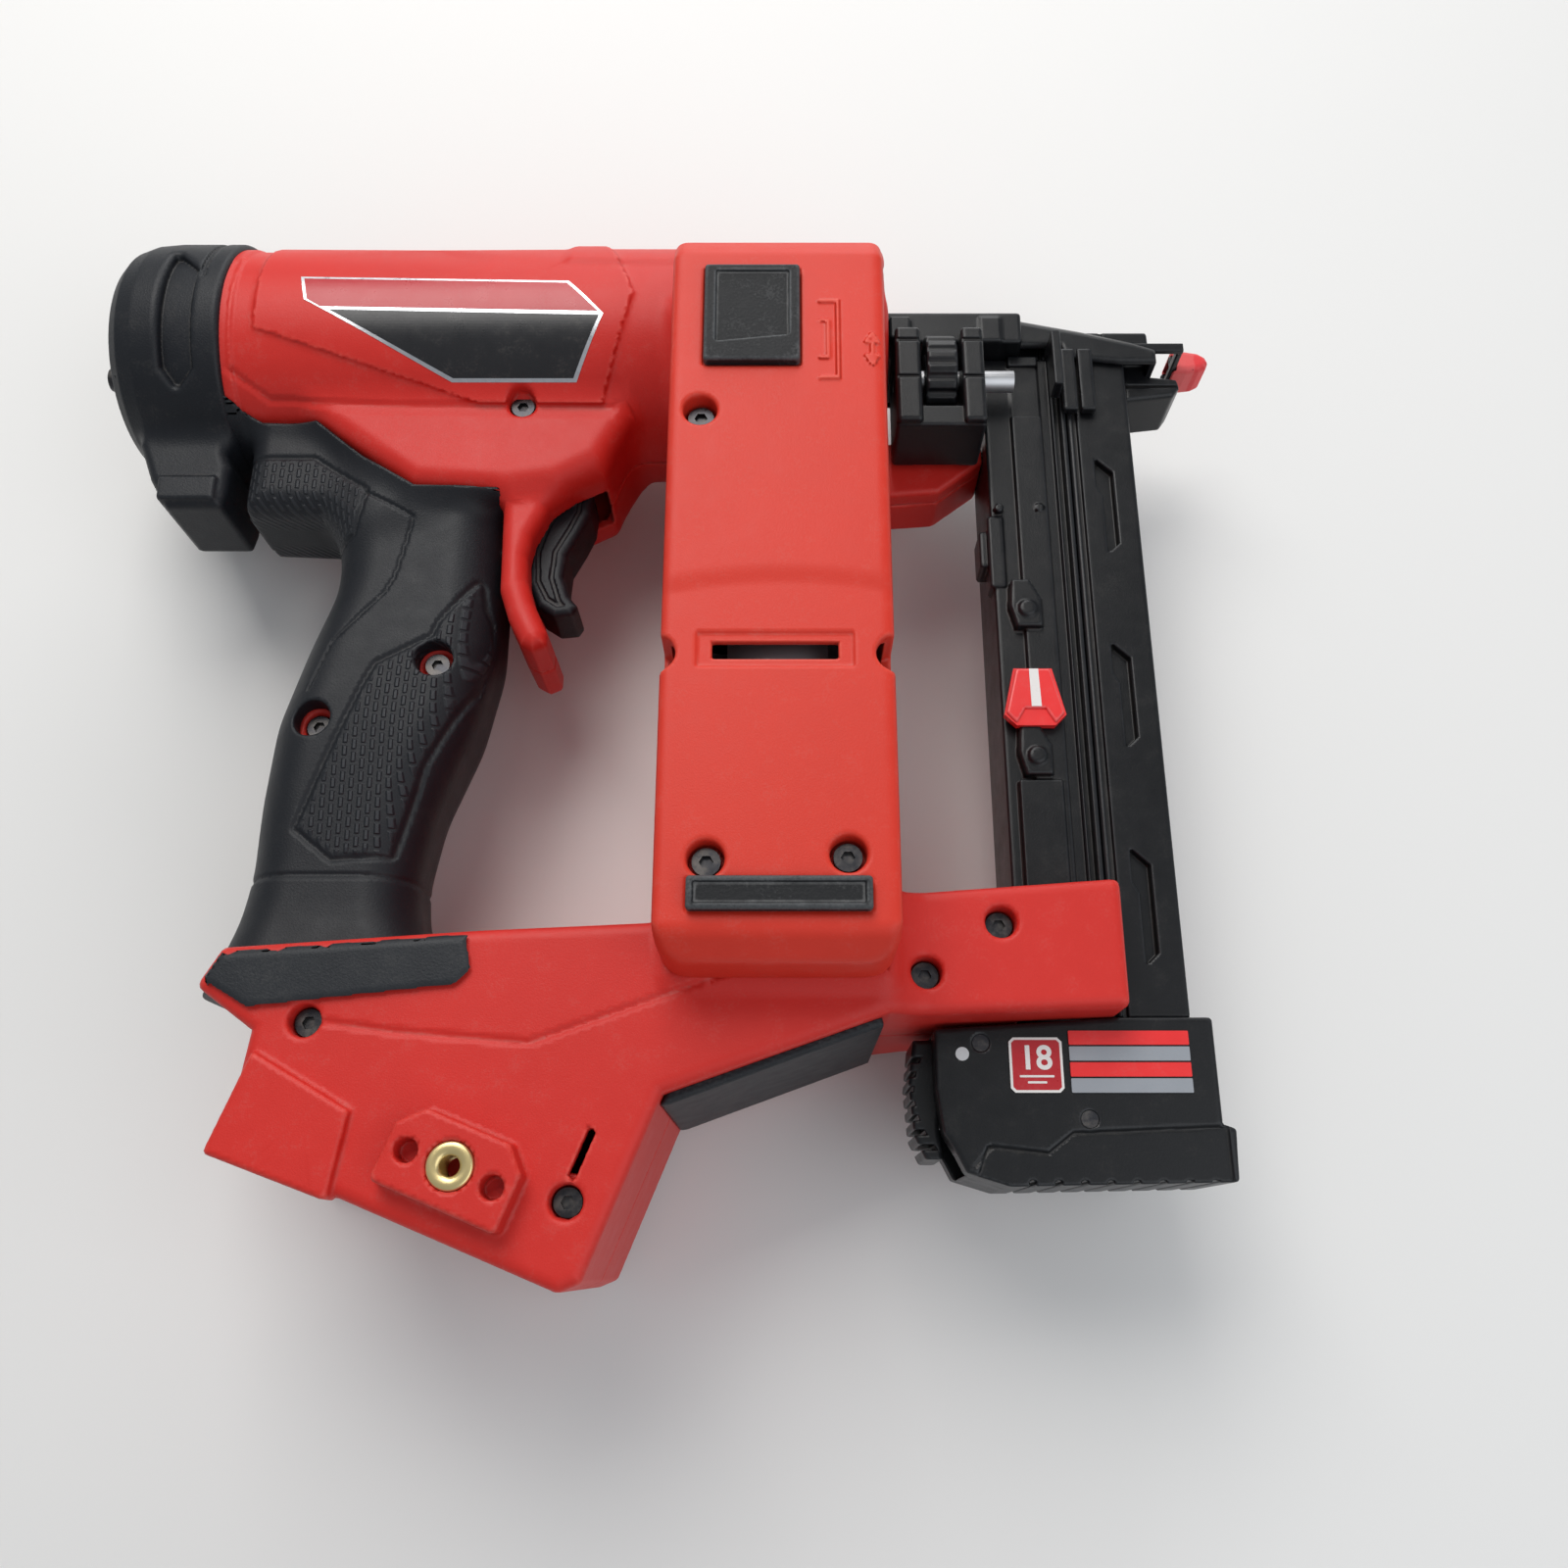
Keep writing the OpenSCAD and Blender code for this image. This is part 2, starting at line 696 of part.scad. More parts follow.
// internal teeth on a flange that also holds the front motor bearing
module ring_gear() {
  rp = gear_m * ring_n / 2;
  pitch = PI * gear_m;
  color("dimgray") {
    translate([lift_x, planet_y - 1.4, lift_z]) rotate([-90, 0, 0]) linear_extrude(planet_w + 2) {
      difference() {
        circle(r = case_r - 2.2);
        circle(r = rp + 1.05 * gear_m);
      }
      for (k = [0 : ring_n - 1]) rotate(360 * k / ring_n)
        polygon([[rp + 1.25 * gear_m, -0.27 * pitch], [rp - 0.75 * gear_m, -0.1 * pitch],
          [rp - 0.75 * gear_m, 0.1 * pitch], [rp + 1.25 * gear_m, 0.27 * pitch]]);
    }
    difference() {
      bar_y(-41, planet_y - 1.4, case_r - 2.2);
      bar_y(-42, planet_y, 6);
    }
  }
}

module gear_case() {
  color("lightslategray") difference() {
    bar_y(-41, case_top, case_r);
    bar_y(-42, case_top - 4, case_r - 2.2);
    bar_y(-42, case_top + 1, 5 + shaft_fit);
  }
}

module motor_stator() {
  color("dimgray") difference() {
    union() {
      difference() {
        bar_y(-126, -41, case_r);
        bar_y(-123, -40, case_r - 1.6);
      }
      // laminated core with its six wound poles
      difference() {
        bar_y(-100, -47, case_r - 1.6);
        bar_y(-101, -46, rotor_r + 0.5);
        for (k = [0 : 5]) translate([lift_x, 0, lift_z]) rotate([0, 60 * k, 0])
          bar_y(-101, -46, 2.4, rotor_r + 4.5, 0);
      }
    }
    bar_y(-127, -122, 6);
    // air windows round the fan
    for (k = [0 : 3]) translate([lift_x, 0, lift_z]) rotate([0, 45 + 90 * k, 0])
      block([0, -121.5, -7], [30, -106, 7]);
  }
}

module motor_rotor() {
  color("silver") {
    bar_y(-98, -49, rotor_r);
    bar_y(-128, planet_y, shaft_r);
    translate([lift_x, planet_y - 0.4, lift_z]) rotate([-90, 0, 0])
      linear_extrude(planet_w + 0.4) gear_2d(sun_n);
  }
}

module cooling_fan() {
  color("black") difference() {
    union() {
      bar_y(-119, -109, 6);
      bar_y(-119, -117, 20);
      for (k = [0 : 8]) translate([lift_x, 0, lift_z]) rotate([0, 40 * k, 0])
        block([4, -117, -0.8], [20, -110, 0.8]);
    }
    bar_y(-120, -108, shaft_r);
  }
}

module motor_bearings() {
  color("silver") for (y = [-41, -126]) difference() {
    bar_y(y, y + 3, 6);
    bar_y(y - 1, y + 4, shaft_r + shaft_fit);
  }
}

// ---- trigger -------------------------------------------------------------------------------

module trigger() {
  color("black") difference() {
    slab(-trigger_w, trigger_w) polygon([[-54, -47], [-54.5, -54], [-57, -60], [-60.5, -67], [-61, -74],
      [-59, -80], [-56.5, -83], [-58, -85.5], [-63, -86], [-67.5, -83], [-71, -76], [-71.5, -66],
      [-69, -57], [-65, -50], [-64, -45.5], [-57, -45]]);
    bar_z(-trigger_w - 1, trigger_w + 1, trigger_pin_r + trigger_fit, trigger_x, trigger_y);
  }
}

module trigger_pin() { color("silver") bar_z(-core_w, core_w, trigger_pin_r, trigger_x, trigger_y); }

module trigger_spring() {
  color("silver") translate([-79.8, -66, 5]) rotate([0, 90, 0]) coil(2, 0.35, 6, 7.6);
}

// ---- nose ----------------------------------------------------------------------------------

module nosepiece() {
  color("dimgray") difference() {
    union() {
      bar_x(24, barrel_front, chamber_r);
      block([barrel_front, -5.5, -9], [68, 5, 21]);
      block([64.8, -5.5, -nose_w], [nose_end, 5, nose_w]);
      // spring seat on the left
      block([34, -4, -16], [38, 4, -9]);
      // lower chin in front of the magazine
      slab(-9, 9) polygon([[mag_front + 0.4, -5.5], [nose_end, -5.5], [nose_end, -13], [108, -18],
        [mag_front + 0.4, -18]]);
    }
    // channel for the rack, then for the tongue
    block([20, -blade_t / 2 - blade_gap, -shank_w - blade_gap],
      [narrow_x + blade_gap, blade_t / 2 + blade_gap, rack_z + tooth_h + blade_gap + 0.4]);
    block([60, -blade_t / 2 - blade_gap, -channel_w], [nose_end + 1, blade_t / 2 + blade_gap, channel_w]);
    // mouth of the staple channel
    block([channel_x, -6, -channel_w], [mag_front, 0, channel_w]);
  }
}

module nose_cover() {
  color("black") slab(-nose_w, nose_w) polygon([[barrel_front, 5], [barrel_front, 15], [54, 14], [76, 11],
    [96, 7.5], [106, 5.4], [106, 5]]);
}

module wheel_bracket() {
  color("black") difference() {
    union() {
      block([30.5, -36, 8], [37.6, -5.5, 31]);
      block([48.8, -36, 8], [55, -5.5, 31]);
      block([30.5, -38, 12], [55, -32.6, 28]);
      block([barrel_front, -30, 10], [31, -8, 30]);
    }
    bar_x(27, 60, stud_r + stud_fit, wheel_y, wheel_z);
  }
}

module depth_wheel() {
  color("black") difference() {
    bar_x(wheel_x, wheel_x + wheel_t, wheel_r, wheel_y, wheel_z);
    bar_x(wheel_x - 1, wheel_x + wheel_t + 1, stud_r + stud_fit, wheel_y, wheel_z);
    for (k = [0 : 17]) translate([0, wheel_y, wheel_z]) rotate([20 * k, 0, 0])
      bar_x(wheel_x + 1, wheel_x + wheel_t - 1, 1.1, wheel_r + 0.5, 0);
  }
}

module depth_stud() {
  color("silver") {
    bar_x(32.4, arm_back - contact_travel - 4, stud_r, wheel_y, wheel_z);
  }
}

module contact_arm() {
  color("dimgray") difference() {
    union() {
      block([arm_back, -4, nose_w + 0.3], [120, 4, nose_w + 2.3]);
      block([64, -4, -nose_w - 2.3], [120, 4, -nose_w - 0.3]);
      // tail that meets the depth stud
      block([arm_back, -22, 16], [arm_back + 2.6, -4, 24]);
      block([arm_back, -4.4, nose_w + 0.3], [arm_back + 2.6, 2, 24]);
      // seat of the return spring
      block([62, -4, -16], [64.5, 4, -nose_w - 0.3]);
      block([119.6, -8, -nose_w - 2.3], [122, 5.6, nose_w + 2.3]);
    }
    block([119, -2.2, -4.4], [123, 2.2, 4.4]);
  }
}

module contact_spring() {
  color("silver") translate([38, 0, -12.6]) rotate([0, 90, 0]) coil(2.1, 0.4, 9, 24);
}

module no_mar_tip() {
  color("red") difference() {
    union() {
      block([122, -6.5, -8], [front_x, 5.6, 8]);
      block([116.5, 5.6, -8], [front_x - 1, 8, 8]);
    }
    block([121, -2.4, -4.6], [front_x + 1, 2.4, 4.6]);
  }
}

// ---- magazine ------------------------------------------------------------------------------

module magazine_rail() {
  color("black") difference() {
    union() {
      block([mag_back, -mag_drop, -mag_w], [mag_split, -5.5, mag_w]);
      // roller clips along the rail
      for (y = [-42, -88, -130], s = [0, 1]) mirror([0, 0, s]) bar_x(61, 69, 0.9, y, mag_w - 0.6);
    }
    block([channel_x, -mag_drop - 1, -channel_w], [mag_split + 1, -5, channel_w]);
    // slot of the pusher indicator and bore of its spring
    block([63.4, -186, 2], [66.6, -16, mag_w + 2]);
    bar_y(-190, -14, 2.7, 72, 8.4);
    block([71, -190, 2], [73, -14, 8]);
    // grooves the sliding cover runs in
    for (s = [0, 1]) mirror([0, 0, s])
      block([mag_split - 3.6, -mag_drop - 1, 10.4], [mag_split + 1, -5, 12.8]);
  }
}

module magazine_core() {
  color("silver") {
    block([channel_x + 2, -mag_drop, -core_t], [mag_front - 2.6, -6, core_t]);
    block([channel_x, -mag_drop, -core_t], [channel_x + 2, -mag_drop + 8, core_t]);
    block([channel_x, -10, -core_t], [channel_x + 2, -6, core_t]);
  }
}

module magazine_cover() {
  color("black") difference() {
    union() {
      block([mag_split + slide_gap, -mag_drop, -mag_w], [mag_front, -6, mag_w]);
      for (s = [0, 1]) mirror([0, 0, s])
        block([mag_split - 3.2, -mag_drop, 10.8], [mag_split + 1, -6, 12.4]);
    }
    block([mag_split - 4, -mag_drop - 1, -channel_w], [mag_front - 2, -5, channel_w]);
    // long relief pockets in both faces
    for (y = [-42, -99, -156], s = [0, 1]) mirror([0, 0, s]) slab(mag_w - 1.6, mag_w + 1)
      polygon([[86, y], [93, y - 7], [93, y - 24], [89.5, y - 24], [86, y - 19]]);
  }
}

module magazine_end() {
  color("black") difference() {
    slab(-18, 18) polygon([[35.4, -200], [mag_split + slide_gap, -200], [mag_split + slide_gap, -mag_drop],
      [102, -mag_drop], [102, -222], [105, -223], [104.4, -mag_drop - end_block_h], [52, -236],
      [42, -233], [40, -229], [37, -224], [35.4, -214]]);
    // hollow for the coil of staples and the latch
    block([50, -230, -14], [98, -203, 14]);
    block([30, -234, -10.4], [46, -199, 10.4]);
    bar_z(-19, 19, 1.6, 42, -206);
    for (p = [[46.5, -203.4], [71, -221]]) bar_z(14, 19, 2, p.x, p.y);
  }
}

module magazine_labels() {
  color("lightgray") {
    block([53, -216, 18], [65.5, -203, 18.3]);
    for (k = [0 : 3]) block([68, -206 - 3.6 * k, 18], [95.5, -203 - 3.6 * k, 18.3]);
  }
}

module magazine_screws() {
  color("gray") for (p = [[46.5, -203.4], [71, -221]]) bar_z(14, 17.6, 2, p.x, p.y);
}

module release_latch() {
  color("black") difference() {
    union() {
      slab(-10, 10) polygon([[32, -201.4], [42, -201.4], [45, -204], [45, -209], [38, -211], [36.5, -222],
        [37.4, -231], [34, -231], [31, -224], [30, -212]]);
      for (k = [0 : 5]) bar_z(-10, 10, 1, 30.4 + 0.3 * abs(k - 2), -208 - 3.4 * k);
    }
    bar_z(-11, 11, 1.6 + shaft_fit, 42, -206);
  }
}

module latch_pin() { color("silver") bar_z(-18, 18, 1.6, 42, -206); }

module latch_spring() {
  color("silver") translate([37.6, -219, 0]) rotate([0, 90, 0]) coil(2.4, 0.4, 6, 8.4);
}

module pusher() {
  color("red") {
    difference() {
      block([channel_x + 0.4, -118, -channel_w + 0.3], [mag_split - 1, -106, channel_w - 0.3]);
      block([channel_x + 1.6, -119, -core_t - 0.3], [mag_split, -105, core_t + 0.3]);
    }
    block([64, -114, channel_w - 0.6], [66, -108, mag_w + 1]);
    slab(mag_w + 0.7, mag_w + 2.9) polygon([[60, -106], [70, -106], [73, -119], [70, -122], [60, -122],
      [57, -119]]);
    // seat of the pusher spring
    block([71.4, -116, channel_w - 0.6], [72.6, -112, 8.4]);
    bar_y(-116, -112, 2.3, 72, 8.4);
  }
}

module pusher_spring() {
  color("silver") translate([72, -190, 8.4]) rotate([-90, 0, 0]) coil(1.9, 0.35, 22, 74);
}

// ---- assembly ------------------------------------------------------------------------------

place() housing_left();
place() housing_right();
place() gear_cover();
place() grip_overmold();
place() foot_overmold();
place() end_cap();
place() housing_screws();
place() cover_screws();
place() cap_screws();
place() rubber_pad_upper();
place() rubber_pad_lower();
place() label_plate();
place() hook_bushes();
place() terminal_block();
place() terminal_blades();
place() control_board();
place() trigger_switch();
place() gas_chamber();
place() drive_cylinder();
place() chamber_bulkhead();
place() fill_valve();
place() piston_bumper();
place() piston();
place() piston_rings();
place() driver_blade();
place() lifter_wheel();
place() lifter_rollers();
place() planet_carrier();
place() planet_gear_1();
place() planet_gear_2();
place() planet_gear_3();
place() ring_gear();
place() gear_case();
place() motor_stator();
place() motor_rotor();
place() cooling_fan();
place() motor_bearings();
place() trigger();
place() trigger_pin();
place() trigger_spring();
place() nosepiece();
place() nose_cover();
place() wheel_bracket();
place() depth_wheel();
place() depth_stud();
place() contact_arm();
place() contact_spring();
place() no_mar_tip();
place() magazine_rail();
place() magazine_core();
place() magazine_cover();
place() magazine_end();
place() magazine_labels();
place() magazine_screws();
place() release_latch();
place() latch_pin();
place() latch_spring();
place() pusher();
place() pusher_spring();
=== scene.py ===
"""Looks of a cordless brad nailer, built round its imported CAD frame.

Every length in the classes is in millimetres in the tool's own frame: x along the drive axis towards
the nose, y from the foot up to the barrel, z from the left side to the right. ToolFrame carries them
into the frame's metres.
"""

import logging
import math
from concurrent.futures import ThreadPoolExecutor
from dataclasses import dataclass
from enum import Enum
from typing import Callable, Sequence

import bpy
import numpy as np
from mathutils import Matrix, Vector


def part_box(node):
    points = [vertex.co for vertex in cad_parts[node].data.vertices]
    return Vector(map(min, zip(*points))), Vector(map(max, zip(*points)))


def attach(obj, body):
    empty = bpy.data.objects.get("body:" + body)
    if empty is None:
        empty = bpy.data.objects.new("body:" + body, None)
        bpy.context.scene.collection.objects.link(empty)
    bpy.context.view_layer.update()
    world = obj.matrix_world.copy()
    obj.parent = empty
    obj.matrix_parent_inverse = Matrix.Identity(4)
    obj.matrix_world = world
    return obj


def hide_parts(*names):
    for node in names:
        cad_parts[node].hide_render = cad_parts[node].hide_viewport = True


Array = np.ndarray
Field = Callable[[Array, Array, Array], Array]

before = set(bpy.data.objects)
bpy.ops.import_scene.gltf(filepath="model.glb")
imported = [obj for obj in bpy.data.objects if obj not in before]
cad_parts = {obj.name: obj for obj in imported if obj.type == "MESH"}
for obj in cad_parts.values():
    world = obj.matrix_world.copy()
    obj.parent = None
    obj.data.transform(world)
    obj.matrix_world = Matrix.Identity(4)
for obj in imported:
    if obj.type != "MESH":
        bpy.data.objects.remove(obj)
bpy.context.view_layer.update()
log = logging.getLogger("brad_nailer")


# ---------------------------------------------------------------- frame

@dataclass(frozen=True)
class ToolFrame:
    """Carries tool millimetres into row metres, anchored on three CAD nodes."""

    lifter_x: float = -1.5

    def shift(self) -> Array:
        """Returns the tool origin in the row frame, in millimetres."""
        def mid(node: str, axis: int) -> float:
            """Returns the middle of a CAD node along one axis, in millimetres."""
            low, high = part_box(node)
            return 500.0 * (low[axis] + high[axis])
        return np.array([mid("lifter_wheel", 0) - self.lifter_x, mid("driver_blade", 1), mid("trigger", 2)])

    def metres(self, points: Array) -> Array:
        """Returns tool points in row metres."""
        return (np.asarray(points, float) + self.shift()) / 1000.0


TOOL = ToolFrame()


# ---------------------------------------------------------------- distance fields

def smooth_max(a: Array, b: Array, k: float) -> Array:
    """The larger of two fields, rounded where they meet over a width k."""
    h = np.maximum(k - np.abs(a - b), 0.0) / k
    return np.maximum(a, b) + h * h * (k / 4.0)


def smooth_min(a: Array, b: Array, k: float) -> Array:
    """The smaller of two fields, filleted where they meet over a width k."""
    return -smooth_max(-a, -b, k)


def polygon_distance(x: Array, y: Array, corners: Sequence[Sequence[float]], inset: float = 0.0) -> Array:
    """Signed distance to a closed outline: the least distance to its edges, negative inside.

    Args:
        x, y: coordinates that broadcast together.
        corners: the outline's corners in order.
        inset: the outline is drawn in by this much and grown back, which rounds its corners.
    """
    pts = np.asarray(corners, float)
    area = np.sum(pts[:, 0] * np.roll(pts[:, 1], -1) - np.roll(pts[:, 0], -1) * pts[:, 1])
    if area < 0:
        pts = pts[::-1]
    if inset:
        edge = np.roll(pts, -1, 0) - pts
        edge /= np.linalg.norm(edge, axis=1)[:, None]
        prev = np.roll(edge, 1, 0)
        normal = np.stack([-edge[:, 1], edge[:, 0]], 1)
        cross = prev[:, 0] * edge[:, 1] - prev[:, 1] * edge[:, 0]
        cross = np.where(np.abs(cross) < 1e-3, 1e-3, cross)
        dot = np.sum(prev * edge, 1)
        pts = pts + inset * (normal + edge * ((1 - dot) / cross)[:, None])
    best = None
    inside = None
    for (ax, ay), (bx, by) in zip(pts, np.roll(pts, -1, 0)):
        ex, ey = bx - ax, by - ay
        wx, wy = x - ax, y - ay
        t = np.clip((wx * ex + wy * ey) / (ex * ex + ey * ey), 0.0, 1.0)
        d = (wx - ex * t) ** 2 + (wy - ey * t) ** 2
        best = d if best is None else np.minimum(best, d)
        cross = ((ay > y) != (by > y)) & (x < (bx - ax) * (y - ay) / (by - ay if by != ay else 1e-9) + ax)
        inside = cross if inside is None else inside ^ cross
    return np.where(inside, -1.0, 1.0) * np.sqrt(best) - inset


def polyline_distance(x: Array, y: Array, corners: Sequence[Sequence[float]]) -> Array:
    """Distance to an open line: the least distance to its stretches."""
    best = None
    for (ax, ay), (bx, by) in zip(corners, corners[1:]):
        ex, ey = bx - ax, by - ay
        t = np.clip(((x - ax) * ex + (y - ay) * ey) / (ex * ex + ey * ey), 0.0, 1.0)
        d = (x - ax - ex * t) ** 2 + (y - ay - ey * t) ** 2
        best = d if best is None else np.minimum(best, d)
    return np.sqrt(best)


def extrude(outline: Array, along: Array, low: float, high: float, edge: float) -> Array:
    """A prism on an outline field between two heights, its edges rounded by edge."""
    a = outline + edge
    b = np.abs(along - 0.5 * (low + high)) - 0.5 * (high - low) + edge
    return np.minimum(np.maximum(a, b), 0.0) + np.hypot(np.maximum(a, 0.0), np.maximum(b, 0.0)) - edge


def box_field(x: Array, y: Array, z: Array, low: Sequence[float], high: Sequence[float], edge: float) -> Array:
    """A box between two corners with rounded edges."""
    q = [np.abs(c - 0.5 * (l + h)) - 0.5 * (h - l) + edge for c, l, h in zip((x, y, z), low, high)]
    out = np.sqrt(sum(np.maximum(c, 0.0) ** 2 for c in q))
    return np.minimum(np.maximum(np.maximum(q[0], q[1]), q[2]), 0.0) + out - edge


def rod_field(u: Array, v: Array, along: Array, centre: Sequence[float], radius: float,
              low: float, high: float, edge: float) -> Array:
    """A round bar: the distance from its axis less its radius, cut off at both ends."""
    return extrude(np.hypot(u - centre[0], v - centre[1]) - radius, along, low, high, edge)


def fade(t: Array, start: float, end: float) -> Array:
    """Rises smoothly from 0 at start to 1 at end."""
    s = np.clip((t - start) / (end - start), 0.0, 1.0)
    return s * s * (3.0 - 2.0 * s)


# ---------------------------------------------------------------- meshes

def make_object(name: str, points: Array, faces: Array, normals: Array | None = None) -> bpy.types.Object:
    """Puts whole arrays of points and faces into a mesh object at the origin.

    Args:
        name: the piece's name.
        points: tool millimetres, one row a point.
        faces: rows of three or four point numbers; a row of four may repeat none.
        normals: outward directions at the points, or None to shade from the faces.

    Returns:
        The new object, linked to the scene.
    """
    mesh = bpy.data.meshes.new(name)
    count, sides = faces.shape
    mesh.vertices.add(len(points))
    mesh.vertices.foreach_set("co", TOOL.metres(points).astype(np.float32).ravel())
    mesh.loops.add(count * sides)
    mesh.loops.foreach_set("vertex_index", faces.astype(np.int32).ravel())
    mesh.polygons.add(count)
    mesh.polygons.foreach_set("loop_start", np.arange(0, count * sides, sides, dtype=np.int32))
    mesh.update(calc_edges=True)
    mesh.validate()
    mesh.shade_smooth()
    if normals is not None:
        mesh.normals_split_custom_set_from_vertices(normals.astype(np.float32).tolist())
    obj = bpy.data.objects.new(name, mesh)
    bpy.context.scene.collection.objects.link(obj)
    return obj


def flatness(shape: Field, p: Array, reach: float) -> Array:
    """Six-point Laplacian of a field over a reach: above 0 on outer edges, below 0 in corners, 0 on flats."""
    total = -6.0 * shape(p[:, 0], p[:, 1], p[:, 2])
    for axis in range(3):
        for way in (-reach, reach):
            q = p.copy()
            q[:, axis] += way
            total = total + shape(q[:, 0], q[:, 1], q[:, 2])
    return total / reach


def settle(shape: Field, p: Array, step: float, rounds: int) -> Array:
    """Moves points down the field's slope until they lie on its zero surface."""
    eps = 0.15 * step
    for _ in range(rounds):
        d = shape(p[:, 0], p[:, 1], p[:, 2])
        g = np.stack([shape(*(p[:, n] + (eps if n == axis else 0.0) for n in range(3))) - d for axis in range(3)], 1) / eps
        p = (p - (np.clip(d, -step, step) / np.maximum(np.sum(g * g, 1), 0.2))[:, None] * g).astype(np.float32)
    return p


def slope(shape: Field, p: Array, eps: float) -> Array:
    """How fast a field grows along each axis, from differences over a small step each way."""
    out = np.empty_like(p)
    for axis in range(3):
        a, b = p.copy(), p.copy()
        a[:, axis] += eps
        b[:, axis] -= eps
        out[:, axis] = (shape(a[:, 0], a[:, 1], a[:, 2]) - shape(b[:, 0], b[:, 1], b[:, 2])) / (2 * eps)
    return out


def thin_out(obj: bpy.types.Object, loose: Array, ratio: float) -> Array:
    """Merges points where the surface is flat, down to a share of the faces.

    Args:
        obj: the piece, whose mesh is replaced.
        loose: 1 at each point that may go, 0 at each that stays.
        ratio: the share of faces kept.

    Returns:
        The points left, in tool millimetres.
    """
    group = obj.vertex_groups.new(name="flat")
    group.add(np.flatnonzero(loose > 0.5).tolist(), 1.0, "REPLACE")
    cut = obj.modifiers.new("thin", "DECIMATE")
    cut.ratio = ratio
    cut.vertex_group = "flat"
    thinned = bpy.data.meshes.new_from_object(obj.evaluated_get(bpy.context.evaluated_depsgraph_get()))
    obj.modifiers.remove(cut)
    obj.vertex_groups.remove(group)
    old = obj.data
    obj.data = thinned
    bpy.data.meshes.remove(old)
    thinned.name = obj.name
    co = np.empty(len(thinned.vertices) * 3, np.float32)
    thinned.vertices.foreach_get("co", co)
    return co.reshape(-1, 3).astype(float) * 1000.0 - TOOL.shift()


def put_floats(obj: bpy.types.Object, name: str, values: Array) -> None:
    """Stores one number a point on a piece, for its material to read."""
    layer = obj.data.attributes.new(name, "FLOAT", "POINT")
    layer.data.foreach_set("value", np.ascontiguousarray(values, np.float32))


def net_of(shape: Field, low: Sequence[float], high: Sequence[float], step: float) -> tuple[Array, Array]:
    """Draws the zero surface of a field as a net with one point in each grid cell it passes through.

    The point is the mean of the crossings on the cell's edges, then is moved down the field's slope onto
    the surface. Each grid edge that the surface crosses gives one face between the four cells round it.

    Args:
        shape: the field, negative inside.
        low, high: a box that holds the shape.
        step: the grid's pitch.

    Returns:
        The points and the four-sided faces.
    """
    axes = [np.arange(l - step, h + 2 * step, step, dtype=np.float32) for l, h in zip(low, high)]
    gx, gy, gz = axes[0][:, None, None], axes[1][None, :, None], axes[2][None, None, :]
    values = np.broadcast_to(shape(gx, gy, gz), [len(a) for a in axes]).astype(np.float32)
    inside = values < 0
    cells = tuple(n - 1 for n in values.shape)
    total = np.zeros(cells + (3,), np.float32)
    hits = np.zeros(cells, np.float32)
    corner = {}
    for i in (0, 1):
        for j in (0, 1):
            for k in (0, 1):
                corner[i, j, k] = (slice(i, cells[0] + i), slice(j, cells[1] + j), slice(k, cells[2] + k))
    for a in corner:
        for axis in range(3):
            if a[axis]:
                continue
            b = tuple(c + (n == axis) for n, c in enumerate(a))
            va, vb = values[corner[a]], values[corner[b]]
            cut = inside[corner[a]] != inside[corner[b]]
            t = np.where(cut, va / np.where(cut, va - vb, 1.0), 0.0)
            hits += cut
            for n in range(3):
                total[..., n] += np.where(cut, a[n] + (t if n == axis else 0.0), 0.0)
    active = hits > 0
    where = np.argwhere(active)
    number = np.full(cells, -1, np.int64)
    number[active] = np.arange(len(where))
    p = where + total[active] / hits[active][:, None]
    p = p * step + np.array([a[0] for a in axes])
    p = settle(shape, p.astype(np.float32), step, 2)
    faces = []
    for axis in range(3):
        u, v = (axis + 1) % 3, (axis + 2) % 3
        first = [slice(None)] * 3
        second = [slice(None)] * 3
        first[axis], second[axis] = slice(0, -1), slice(1, None)
        a, b = inside[tuple(first)], inside[tuple(second)]
        at = np.argwhere(a != b)
        flip = b[tuple(at.T)]
        within = np.all([(at[:, n] > 0) & (at[:, n] < cells[n]) for n in (u, v)], axis=0)
        at, flip = at[within], flip[within]
        quad = []
        for du, dv in ((1, 1), (0, 1), (0, 0), (1, 0)):
            c = at.copy()
            c[:, u] -= du
            c[:, v] -= dv
            quad.append(number[tuple(c.T)])
        quad = np.stack(quad, 1)
        quad[flip] = quad[flip][:, ::-1]
        faces.append(quad)
    return p, np.concatenate(faces)


def lathe(name: str, profile: Sequence[Sequence[float]], origin: Sequence[float], axis: str,
          turns: int = 48) -> bpy.types.Object:
    """Turns a closed profile of (along, radius) points round an axis.

    A point at angle a lies at radius * cos(a) and radius * sin(a) across the axis. The profile is closed
    back to its first point, and each of its steps makes one ring of faces.
    """
    prof = np.asarray(profile, float)
    angle = np.linspace(0, 2 * math.pi, turns, endpoint=False)
    along = np.repeat(prof[:, 0][:, None], turns, 1)
    across = prof[:, 1][:, None] * np.cos(angle)
    third = prof[:, 1][:, None] * np.sin(angle)
    order = {"x": (along, across, third), "y": (third, along, across), "z": (across, third, along)}[axis]
    p = np.stack(order, -1).reshape(-1, 3) + np.asarray(origin, float)
    n = len(prof)
    i = np.repeat(np.arange(n), turns)
    j = np.tile(np.arange(turns), n)
    i2, j2 = (i + 1) % n, (j + 1) % turns
    faces = np.stack([i * turns + j, i * turns + j2, i2 * turns + j2, i2 * turns + j], 1)
    return make_object(name, p, faces)


# ---------------------------------------------------------------- materials

Colour = tuple[float, float, float]


